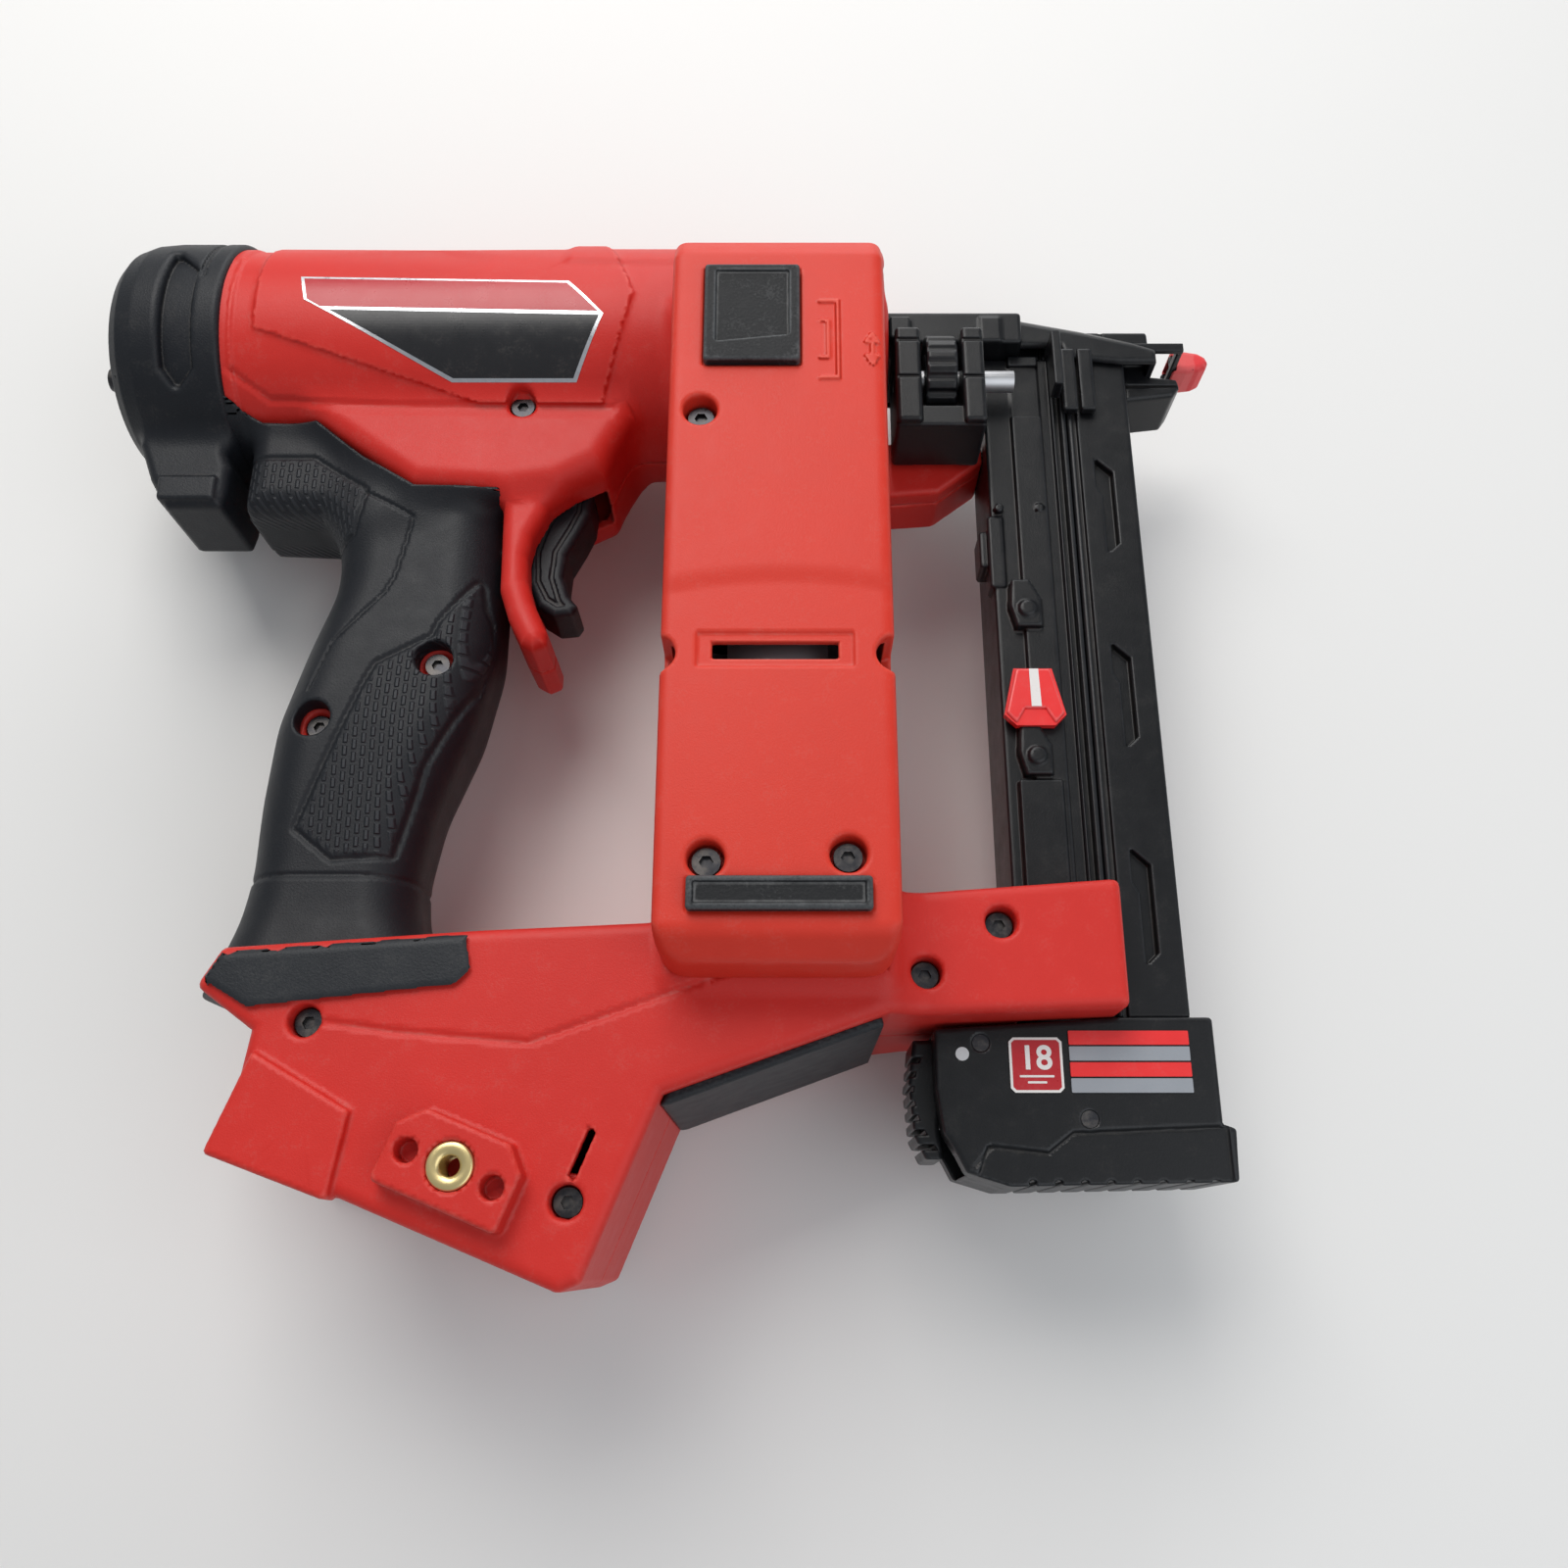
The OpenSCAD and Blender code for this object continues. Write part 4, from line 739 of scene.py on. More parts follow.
class HousingHalf(Moulding):
    """One moulded half of the red housing: barrel, trigger guard, gear column, foot and rail arm.

    The outside is a union of a round barrel, a rounded-square column and two outlined slabs, with
    fillets where they meet. The inside follows it one wall further in, with screw towers left standing.
    """

    def __init__(self, side: int) -> None:
        """Sets the half up: side is 1 for the right half and -1 for the left."""
        self.side = side
        right = side > 0
        super().__init__("housing_right_shell" if right else "housing_left_shell", "body",
                         ("housing_right",) if right else ("housing_left",), Finishes.SHELL,
                         (-159, -260, 0 if right else -43), (81, 35.0, 44 if right else 0), 1.0, 0.42)

    def outside(self, x: Array, y: Array, z: Array) -> Array:
        """Returns the field of the housing's outer form."""
        foot = extrude(polygon_distance(x, y, FOOT, 2.0), z, -36.0, 36.0, 3.2)
        foot = smooth_max(foot, np.abs(z) - 36.0 + fade(x, 20.0, 34.0) * 6.0, 3.0)
        column = box_field(x, y, z, (SIZE.column[0], -194, SIZE.left), (SIZE.column[1], -2, SIZE.right), 3.5)
        gusset = extrude(polygon_distance(x, y, GUSSET, 1.0), z, -14.0, 6.0, 1.5)
        body = smooth_min(smooth_min(smooth_min(barrel_field(x, y, z), column, 7.0), foot, 3.0), gusset, 2.0)
        guard = extrude(polygon_distance(x, y, GUARD, 0.6), z, -17.2, 17.2, 4.0)
        flank = extrude(polygon_distance(x, y, FLANK, 2.0), z, -21.0, 21.0, 6.0)
        flank = smooth_min(flank, guard, 5.0)
        return smooth_min(smooth_min(body, flank, 4.0), handle_core(x, y, z), 1.0)

    def dressed(self, x: Array, y: Array, z: Array) -> Array:
        """Returns the outer form with its surface features: crease, wing, hook seat, slit and recesses."""
        s = self.side
        out = self.outside(x, y, z)
        around = np.arctan2(-y, z * s) * SIZE.barrel_r
        plateau = polygon_distance(x, around, PLATEAU, 1.0) + 60.0 * (z * s < 2)
        out = smooth_min(out, np.maximum(out - 0.8, plateau * 0.4 + 0.3), 0.9)
        ledge = polyline_distance(x, around, BARREL_LINE) + 60.0 * (z * s < 2) + 60.0 * (y < -60)
        out = out + 0.55 * np.maximum(0.0, 1.0 - ledge / 1.7)
        notch = box_field(x, y, z, (-152.2, 22.0, -17), (-147.4, 60, 17), 0.6)
        out = smooth_max(out, -np.maximum(notch, 31.8 - np.hypot(y, z)), 0.5)
        crease = polyline_distance(x, y, CREASE)
        out = out + np.maximum(0.0, 0.6 - 0.5 * crease) * (s * z > 30)
        wing = extrude(polygon_distance(x, y, WING, 1.0), z, -37.6, 37.6, 1.2)
        u, v = turned(x, y, (-71, -233), -22)
        seat = extrude(polygon_distance(u, v, HOOK_SEAT, 1.5), s * z, 30.0, 41.8, 1.0)
        out = smooth_min(smooth_min(out, np.maximum(wing, 25 - s * z), 1.2), seat, 1.0)
        for du in (-10.2, 10.2):
            out = smooth_max(out, -rod_field(u, v, s * z, (du, -0.6), 2.6, 36.0, 60.0, 0.1), 0.8)
        out = smooth_max(out, -rod_field(u, v, s * z, (0, 0), 5.3, 30.0, 60.0, 0.1), 0.5)
        if s > 0:
            along, across = turned(x, y, (-44, -230), 68)
            out = smooth_max(out, -box_field(along, across, z, (-5.6, -0.9, 32.5), (5.6, 0.9, 60), 0.3), 0.4)
        for sx, sy, face in HOUSING_SCREWS:
            if s > 0:
                well = rod_field(x, y, z, (sx, sy), 3.7, face - 7.0, 80.0, 0.2)
                out = smooth_max(out, -np.maximum(well, 31.2 - np.hypot(y, z)), 1.4)
            else:
                out = smooth_max(out, -rod_field(x, y, z, (sx, sy), 2.9, -80.0, 1.6 - face, 0.1), 0.8)
        return out

    def hollow(self, x: Array, y: Array, z: Array) -> Array:
        """Returns the field of the room inside: one wall in from the outside, less towers and the bay's floor."""
        room = self.outside(x, y, z) + SIZE.wall
        for sx, sy, _ in HOUSING_SCREWS:
            room = np.maximum(room, 6.2 - np.hypot(x - sx, y - sy))
        u, v = turned(x, y, (-48, -259), -22)
        bay = box_field(u, v, z, (-92, -9, -31), (-14, 13, 31), 1.2)
        room = np.maximum(room, 2.4 - bay)
        room = np.maximum(room, 9.0 - np.hypot(x + 71, y + 233))
        ends = np.maximum(np.hypot(y, z) - 30.6, 85.0 - np.abs(x + 65.0))
        room = np.minimum(np.minimum(room, ends), bay)
        room = np.minimum(room, box_field(u, v, z, (-62.5, 10, -24.5), (-33.5, 23, 24.5), 0.3))
        trigger = extrude(polygon_distance(x, y, TRIGGER_ROOM), z, -8.7, 8.7, 0.3)
        rail = box_field(x, y, z, (56.6, -201, -14.3), (90, -160, 14.3), 0.5)
        room = np.minimum(np.minimum(room, trigger), rail)
        if self.side > 0:
            room = np.minimum(room, box_field(x, y, z, (-26.4, -189.4, 28), (23.4, 24, 80), 0.5))
        return room

    def shape(self, x: Array, y: Array, z: Array) -> Array:
        """Returns the half's field: the dressed outside less the room inside, cut at the parting plane."""
        half = smooth_max(self.dressed(x, y, z), -self.hollow(x, y, z), 0.4)
        return smooth_max(half, 0.12 - self.side * z, 0.7)


class GearCover(Moulding):
    """The cover of the gear column: a deep tray with sloped ends, screw wells, pads' seats and a slot."""

    def __init__(self) -> None:
        """Sets the cover up."""
        super().__init__("gear_cover_shell", "body", ("gear_cover",), Finishes.COVER, (-30, -193, 13), (27, 32, 61.5), 0.7, 0.6)

    def outside(self, x: Array, y: Array, z: Array) -> Array:
        """Returns the outer form: a profile drawn across, with rounded corners seen from the side it shows."""
        side = extrude(polygon_distance(y, z, COVER_PROFILE, 3.0), x, SIZE.column[0], SIZE.column[1], 4.0)
        plan = box_field(x, y, z, (SIZE.column[0], -192.4, -99), (SIZE.column[1], 31.2, 199), 9.0)
        swell = fade(y + 0.004 * x * x, -104.0, -98.0) - 1.0
        return smooth_max(smooth_max(side, plan, 2.0), z - 60.0 - 1.1 * swell, 2.0)

    def shape(self, x: Array, y: Array, z: Array) -> Array:
        """Returns the cover's field: the tray with its wells, seats, slot, marks and open back."""
        out = self.outside(x, y, z)
        room = out + 2.6
        for sx, sy in COVER_SCREWS:
            room = np.maximum(room, 6.0 - np.hypot(x - sx, y - sy))
        out = smooth_max(out, -box_field(x, y, z, (-20.3, -43.3, 58.4), (4.3, -13.7, 70), 0.8), 0.6)
        out = smooth_max(out, -box_field(x, y, z, (-21.3, -182.3, 58.4), (19.3, -174.2, 70), 0.8), 0.6)
        out = smooth_max(out, -box_field(x, y, z, (-20, -124.5, 58.2), (16, -116, 70), 0.6), 0.8)
        out = smooth_max(out, -box_field(x, y, z, (-16.5, -122.4, 40), (12.5, -118.2, 70), 0.3), 0.4)
        for sx, sy in COVER_SCREWS:
            out = smooth_max(out, -rod_field(x, y, z, (sx, sy), 4.1, 52.5, 80, 0.2), 1.4)
        for sx in (-29.2, 25.4):
            out = smooth_max(out, -rod_field(x, y, z, (sx, -121), 4.3, 46, 80, 0.4), 1.0)
        mark = np.minimum(polyline_distance(x, y, STAPLE_LONG), polyline_distance(x, y, STAPLE_SHORT))
        for line in (ARROW_UP, ARROW_DOWN):
            mark = np.minimum(mark, polyline_distance(x, y, line))
        out = np.where(z > 58, smooth_min(out, np.maximum(mark - 0.45, out - 0.45), 0.3), out)
        body = smooth_max(out, -room, 0.4)
        body = np.maximum(body, -rod_field(y, z, x, (0, 0), 33.7, -60, 60, 0.1))
        return smooth_max(body, 36.1 - z - 30 * (y > 0), 0.5)


class Grip(Moulding):
    """The soft black overmould: grip, web under the barrel and the skin on the barrel's lower back."""

    SECTIONS = ((-60, -123.0, -78.0, 17.0), (-80, -123.0, -77.5, 17.0), (-98, -128.5, -77.5, 17.5), (-120, -134.0, -82.0, 18.0),
                (-142, -135.5, -90.0, 17.3), (-160, -135.5, -93.0, 16.8), (-172, -137.0, -92.0, 17.4), (-184, -140.0, -86.0, 20.0),
                (-193, -143.0, -82.0, 22.0))

    def __init__(self) -> None:
        """Sets the overmould up."""
        super().__init__("grip_skin", "body", ("grip_overmold",), Finishes.GRIP, (-159, -193, -36.5), (-66, -20, 36.5), 0.8, 0.75)

    def spread(self, y: Array) -> tuple[Array, Array, Array]:
        """Returns the grip's middle, half depth and half width at a height, smoothed along the handle."""
        table = np.asarray(self.SECTIONS, float)[::-1]
        line = np.arange(-215.0, -30.0, 1.0)
        kernel = np.hanning(17)
        smooth = [np.convolve(np.pad(np.interp(line, table[:, 0], table[:, n]), 8, mode="edge"), kernel / kernel.sum(), "valid")
                  for n in (1, 2, 3)]
        back, front, wide = (np.interp(y, line, s) for s in smooth)
        return 0.5 * (back + front), 0.5 * (front - back), wide

    def shape(self, x: Array, y: Array, z: Array) -> Array:
        """Returns the overmould's field."""
        mid, deep, wide = self.spread(y)
        r = 13.5
        a, b = np.abs(x - mid) - deep + r, np.abs(z) - wide + r
        loft = np.hypot(np.maximum(a, 0), np.maximum(b, 0)) + np.minimum(np.maximum(a, b), 0) - r
        grip = smooth_max(smooth_max(loft, -191.8 - y, 1.0), y + 44.0, 1.0)
        grip = grip + 0.55 * np.maximum(0.0, 1.0 - np.abs(y + 162.0) / 1.1)
        web = extrude(polygon_distance(x, y, WEB, 2.0), z, -16.5, 16.5, 7.0)
        barrel = np.maximum(barrel_field(x, y, z) - 0.9, -151.0 - 20.0 - x)
        flank = extrude(polygon_distance(x, y, FLANK, 2.0), z, -21.0, 21.0, 6.0) - 0.9
        top = smooth_min(barrel, flank, 4.0)
        body = smooth_min(smooth_min(grip, web, 9.0), top, 7.0)
        body = smooth_max(body, polygon_distance(x, y, SKIN_OUTLINE, 0.3), 0.8)
        patch = np.maximum(0.0, 0.6 - 0.6 * np.abs(polygon_distance(x, y, PATCH, 1.0)))
        panel = np.maximum(0.0, 0.7 - 0.6 * np.abs(polygon_distance(x, y, PANEL, 1.0)))
        seam = np.maximum(0.0, 0.5 - 0.6 * polyline_distance(x, y, GRIP_SEAM))
        body = body + (patch + panel + seam) * (np.abs(z) > 8)
        for sx, sy, _ in HOUSING_SCREWS[1:3]:
            body = smooth_max(body, -rod_field(x, y, z, (sx, sy), 4.9, -80, 80, 0.1), 1.0)
        bare = np.minimum(barrel_field(x, y, z), extrude(polygon_distance(x, y, FLANK, 2.0), z, -21.0, 21.0, 6.0))
        core = np.minimum(handle_core(x, y, z), bare)
        body = smooth_max(body, -(core - 0.05), 0.3)
        guard = extrude(polygon_distance(x, y, GUARD, 0.6), z, -17.2, 17.2, 4.0)
        body = smooth_max(body, -(guard - 0.2), 0.4)
        return smooth_max(body, -157.0 - x, 0.2)

    def masks(self, x: Array, y: Array, z: Array) -> dict[str, Array]:
        """Returns where the dashes stand: inside the panel, and lightly on the patch."""
        panel = fade(-polygon_distance(x, y, PANEL, 1.0), 0.8, 2.6) * fade(np.abs(z), 4, 8)
        patch = fade(-polygon_distance(x, y, PATCH, 1.0), 0.8, 2.0) * fade(np.abs(z), 4, 8)
        return {"panel": np.maximum(panel, 0.8 * patch)}


class EndCap(Moulding):
    """The rubber-faced end cap: a dome with a long facet in each flank, a band line and a bumper foot."""

    PROFILE = ((-193.9, -5), (-193.9, 9), (-192.6, 15), (-190.9, 21), (-189.4, 26), (-187.8, 30), (-184.8, 32.8), (-180, 34.4),
               (-174, 34.9), (-155.6, 34.9), (-155.6, -5))
    FOOT = ((-176, -24), (-182, -35), (-177.5, -46), (-172, -55), (-156.5, -55), (-155.4, -50), (-155.4, -42),
            (-157, -38), (-157, -24))

    def __init__(self) -> None:
        """Sets the cap up."""
        super().__init__("end_cap_skin", "body", ("end_cap",), Finishes.OVERMOLD, (-195, -57, -36), (-153, 36, 36), 0.7, 0.8)

    def shape(self, x: Array, y: Array, z: Array) -> Array:
        """Returns the cap's field: a turned profile with facets, a band line, screw wells and a foot."""
        r = np.hypot(y, z)
        turned_form = polygon_distance(x, r, self.PROFILE, 1.5)
        body = turned_form
        angle = np.arctan2(np.abs(z), -y)
        facet = polygon_distance(x, angle * 35.0, ((-172, 74), (-163.5, 64), (-163.5, 33), (-168.5, 27), (-172, 33)), 1.2)
        body = smooth_max(body, -np.maximum(facet, 33.2 + 0.10 * (x + 163.5) - r), 2.2)
        body = smooth_max(body, -np.maximum(np.abs(x + 161.6) - 0.8, np.maximum(34.2 - r, 6.0 - y)), 0.8)
        foot = extrude(polygon_distance(x, y, self.FOOT, 1.5), z, -14.0, 14.0, 3.0)
        tab = box_field(x, y, z, (-174.0, -53.4, -15.0), (-158.0, -46.0, 15.0), 1.0)
        body = smooth_min(smooth_min(body, foot, 5.0), tab, 0.8)
        for k in range(4):
            a = math.radians(45 + 90 * k)
            body = smooth_max(body, -rod_field(y, z, x, (20 * math.cos(a), 20 * math.sin(a)), 3.1, -210, -187.5, 0.1), 0.8)
        mouth = rod_field(y, z, x, (0, 0), 31.0, -185.3, -140, 0.5)
        return smooth_max(body, -mouth, 0.4)


class Trigger(Moulding):
    """The black trigger: a curved blade with a concave finger face and a hook below."""

    OUTLINE = ((-54, -47), (-54.5, -54), (-57, -60), (-60.5, -67), (-61, -74), (-59, -80), (-56.5, -83), (-58, -85.5), (-63, -86),
               (-67.5, -83), (-71, -76), (-71.5, -66), (-69, -57), (-65, -50), (-64, -45.5), (-57, -45))

    def __init__(self) -> None:
        """Sets the trigger up."""
        super().__init__("trigger_blade", "trigger_lever", ("trigger",), Finishes.OVERMOLD, (-73, -87, -9), (-53, -44, 9), 0.5)

    def shape(self, x: Array, y: Array, z: Array) -> Array:
        """Returns the trigger's field."""
        body = extrude(polygon_distance(x, y, self.OUTLINE, 1.0), z, -8.0, 8.0, 1.8)
        rib = extrude(np.abs(polygon_distance(x, y, self.OUTLINE, 1.0) + 3.2) - 0.5, np.abs(z), 7.4, 20.0, 0.2)
        return smooth_max(body, -rib, 0.5)


class Pads(Moulding):
    """The two rubber pads on the gear cover, the upper one with a scooped corner."""

    def __init__(self, upper: bool) -> None:
        """Sets a pad up: the upper or the lower one."""
        self.upper = upper
        if upper:
            super().__init__("upper_pad", "body", ("rubber_pad_upper",), Finishes.PAD, (-21, -44, 58), (5, -13, 62), 0.4)
        else:
            super().__init__("lower_pad", "body", ("rubber_pad_lower",), Finishes.PAD, (-22, -183.5, 58), (20, -173.5, 62), 0.4)

    def shape(self, x: Array, y: Array, z: Array) -> Array:
        """Returns the pad's field."""
        if not self.upper:
            lip = box_field(x, y, z, (-21, -182.0, 58.5), (19, -174.5, 61.6), 0.9)
            return smooth_max(lip, -box_field(x, y, z, (-19.4, -180.6, 61.0), (17.4, -175.9, 70), 0.5), 0.4)
        body = box_field(x, y, z, (-20, -43, 58.5), (4, -14, 61.8), 0.9)
        dish = polygon_distance(x, y, ((-17, -16.2), (1.2, -16.2), (1.2, -35.5), (-17, -37.5), (-17, -30)), 0.5)
        depth = 60.2 + 0.045 * (y + 36.0)
        return smooth_max(body, -np.maximum(dish, depth - z), 0.6)


class Bushes:
    """The brass hook bushes: a knurled ring with a threaded bore, chamfered at its face."""

    CENTRE = (-71.0, -233.0)

    def build(self) -> None:
        """Builds one bush on each side, 0.2 mm short of its seat's face."""
        for side, name in ((1, "hook_bush_right"), (-1, "hook_bush_left")):
            wall, ridge = [(33.2, 2.2), (33.2, 5.0), (33.6, 5.2), (41.4, 5.2), (41.9, 4.8), (41.9, 3.0)], []
            for k in range(13):
                ridge += [(41.4 - 0.62 * k, 2.1), (41.1 - 0.62 * k, 2.45)]
            profile = [(side * a, r) for a, r in wall + ridge]
            obj = lathe(name, profile if side > 0 else profile[::-1], (*self.CENTRE, 0.0), "z", 64)
            bevel = obj.modifiers.new("bevel", "BEVEL")
            bevel.width, bevel.segments, bevel.limit_method = 0.00015, 1, "ANGLE"
            settle_in(obj, "body", ("hook_bushes",) if side > 0 else (), Finishes.BRASS)


class Nosepiece(Moulding):
    """The black nose casting: round flange, neck, raised guide block, chin and the hook over the magazine's head."""

    CHIN = ((98.6, -4.4), (105.4, -4.4), (106.4, -8.6), (114.6, -9.6), (115.3, -12.4), (113.0, -15.6), (98.6, -17.4))

    def __init__(self) -> None:
        """Sets the nosepiece up."""
        super().__init__("nose_casting", "body", ("nosepiece",), Finishes.SATIN, (23, -34, -34), (116, 34, 34), 0.7, 0.8)

    def shape(self, x: Array, y: Array, z: Array) -> Array:
        """Returns the casting's field, with the blade's slot through it."""
        flange = rod_field(y, z, x, (0, 0), 30.3, 24.1, 28.0, 0.8)
        neck = box_field(x, y, z, (26, -5.4, -9), (68, 5.0, 20), 1.0)
        guide = box_field(x, y, z, (64.8, -5.4, -11.9), (106.3, 4.4, 11.9), 0.9)
        chin = extrude(polygon_distance(x, y, self.CHIN, 0.8), z, -9.0, 9.0, 1.4)
        chin = smooth_max(chin, -np.maximum(np.abs(y + 12.4) - 0.35, 8.3 - np.abs(z)), 0.5)
        hook = box_field(x, y, z, (78.8, -26.0, 14.6), (88.2, -5.4, 17.4), 0.7)
        chin = np.minimum(chin, hook)
        rib = np.minimum(box_field(x, y, z, (30, -5.4, 12), (36, 2, 22), 0.6), box_field(x, y, z, (56, -5.2, -8), (62, 3.0, 20.5), 0.6))
        body = smooth_min(smooth_min(smooth_min(flange, neck, 2.0), guide, 0.8), smooth_min(chin, rib, 0.5), 0.8)
        slot = np.minimum(box_field(x, y, z, (20, -2.0, -8.2), (130, 2.0, 8.2), 0.2), box_field(x, y, z, (20, -2.0, -5.5), (66.8, 2.0, 17.2), 0.2))
        lines = np.maximum(np.abs((x - 70.0) % 9.0 - 4.5) - 0.4, 11.3 - np.abs(z)) + 30.0 * (x < 70) + 30.0 * (x > 97)
        return smooth_max(smooth_max(body, -lines, 0.4), -slot, 0.2)


class NoseCover(Moulding):
    """The wedge-shaped cover over the nose: a hollow roof that falls away to both sides, with deep skirts by the tip."""

    ROOF = ((28.0, -30), (28.0, 15.4), (40, 15.4), (52, 15.0), (69, 12.8), (86, 9.1), (100.5, 5.4), (107.2, 3.0), (107.2, -30))
    SKIRT = ((28.0, 20), (28.0, -2.5), (58.0, -2.5), (62.0, -3.9), (79.4, -3.9), (80.5, -7.6), (96.0, -9.4), (107.2, -9.4), (107.2, 20))

    def __init__(self) -> None:
        """Sets the cover up."""
        super().__init__("nose_wedge", "body", ("nose_cover",), Finishes.SATIN, (27, -11, -18), (108, 16.5, 18), 0.55, 0.8)

    def shape(self, x: Array, y: Array, z: Array) -> Array:
        """Returns the cover's field: roof and skirts less the room for the nose and the contact arm."""
        drop = 0.033 * z * z
        roof = polygon_distance(x, y + drop, self.ROOF)
        body = smooth_max(extrude(polygon_distance(x, y, self.SKIRT, 0.4), z, -16.6, 16.6, 1.6), roof, 1.0)
        room = np.maximum(np.maximum(roof + 1.9, np.abs(z) - 14.8), np.abs(x - 65.5) - 39.7)
        ways = np.minimum(box_field(x, y, np.abs(z), (100, -4.4, 12.1), (120, -0.9, 14.6), 0.1), box_field(x, y, z, (100, -2.0, -8.2), (120, 2.0, 8.2), 0.1))
        ways = np.minimum(ways, box_field(x, y, z, (20, -2.0, -5.5), (66.8, 2.0, 17.2), 0.2))
        return smooth_max(body, -np.minimum(room, ways), 0.3)


class ContactArm(Moulding):
    """The contact arm: two bars beside the nose, the tail that meets the depth stud and the foot under the tip."""

    def __init__(self) -> None:
        """Sets the arm up."""
        super().__init__("contact_frame", "contact", ("contact_arm",), Finishes.SATIN, (60, -23, -17.5), (122, 6, 25), 0.5, 0.8)

    def shape(self, x: Array, y: Array, z: Array) -> Array:
        """Returns the arm's field, with the staple's slot through its foot."""
        bars = box_field(x, y, np.abs(z), (75.4, -4.0, 12.5), (115.8, -1.3, 14.2), 0.3)
        cross = box_field(x, y, z, (114.2, -3.8, -14.2), (115.8, -1.4, 14.2), 0.3)
        foot = box_field(x, y, z, (114.2, -3.8, -5.1), (120.8, 1.2, 5.1), 0.5)
        tail = box_field(x, y, z, (75.4, -22.0, 16.4), (78.0, -4.2, 23.6), 0.4)
        bridge = np.minimum(box_field(x, y, z, (75.4, -6.4, 14.2), (78.0, -4.1, 23.6), 0.2), box_field(x, y, z, (75.4, -5.4, 12.5), (78.0, -1.3, 14.6), 0.2))
        seat = np.minimum(box_field(x, y, z, (62, -4, -16), (64.5, 4, -12.4), 0.3), box_field(x, y, z, (62, -4, -14.2), (80, -1.3, -12.5), 0.3))
        body = np.minimum(np.minimum(np.minimum(bars, cross), np.minimum(tail, bridge)), np.minimum(foot, seat))
        return np.maximum(body, -box_field(x, y, z, (105, -1.9, -3.8), (130, 1.9, 3.8), 0.1))


class WheelBracket(Moulding):
    """The two cheeks and bridge that hold the depth wheel."""

    def __init__(self) -> None:
        """Sets the bracket up."""
        super().__init__("wheel_cheeks", "body", ("wheel_bracket",), Finishes.SATIN, (29, -41, 7), (56, -5, 32), 0.45)

    def shape(self, x: Array, y: Array, z: Array) -> Array:
        """Returns the bracket's field, with the stud's hole through both cheeks."""
        rear = box_field(x, y, z, (30.6, -39, 8), (37.6, -8.6, 31), 1.2)
        front = box_field(x, y, z, (48.8, -39, 8), (54.9, -8.6, 31), 1.2)
        bridge = box_field(x, y, z, (30.6, -39.4, 9), (54.9, -32.8, 29), 1.0)
        body = np.minimum(np.minimum(rear, front), bridge)
        rib = np.minimum(np.abs(y + 13.0), np.abs(y + 25.0)) - 0.5
        body = smooth_max(body, -np.maximum(rib, 30.4 - z), 0.4)
        return smooth_max(body, -rod_field(y, z, x, (-19, 20), 3.25, 20, 70, 0.1), 0.4)


class DepthWheel(Moulding):
    """The knurled depth wheel: deep finger flutes round its rim and a groove at mid width."""

    def __init__(self) -> None:
        """Sets the wheel up."""
        super().__init__("depth_wheel_knob", "wheel", ("depth_wheel",), Finishes.SATIN, (38.5, -32, 7), (48, -6, 33), 0.4)

    def shape(self, x: Array, y: Array, z: Array) -> Array:
        """Returns the wheel's field."""
        r, a = np.hypot(y + 19, z - 20), np.arctan2(z - 20, y + 19)
        body = extrude(r - 12.3, x, 39.1, 47.5, 0.9)
        pitch = 2 * math.pi / 18
        across = ((a + pitch / 2) % pitch - pitch / 2) * r
        body = smooth_max(body, -(np.hypot(across, r - 12.9) - 1.25), 0.4)
        hub = np.maximum(np.abs(r - 8.2) - 1.1, 3.9 - np.abs(x - 43.3))
        body = smooth_max(body, -hub, 0.4)
        return np.maximum(body, 3.05 - r)


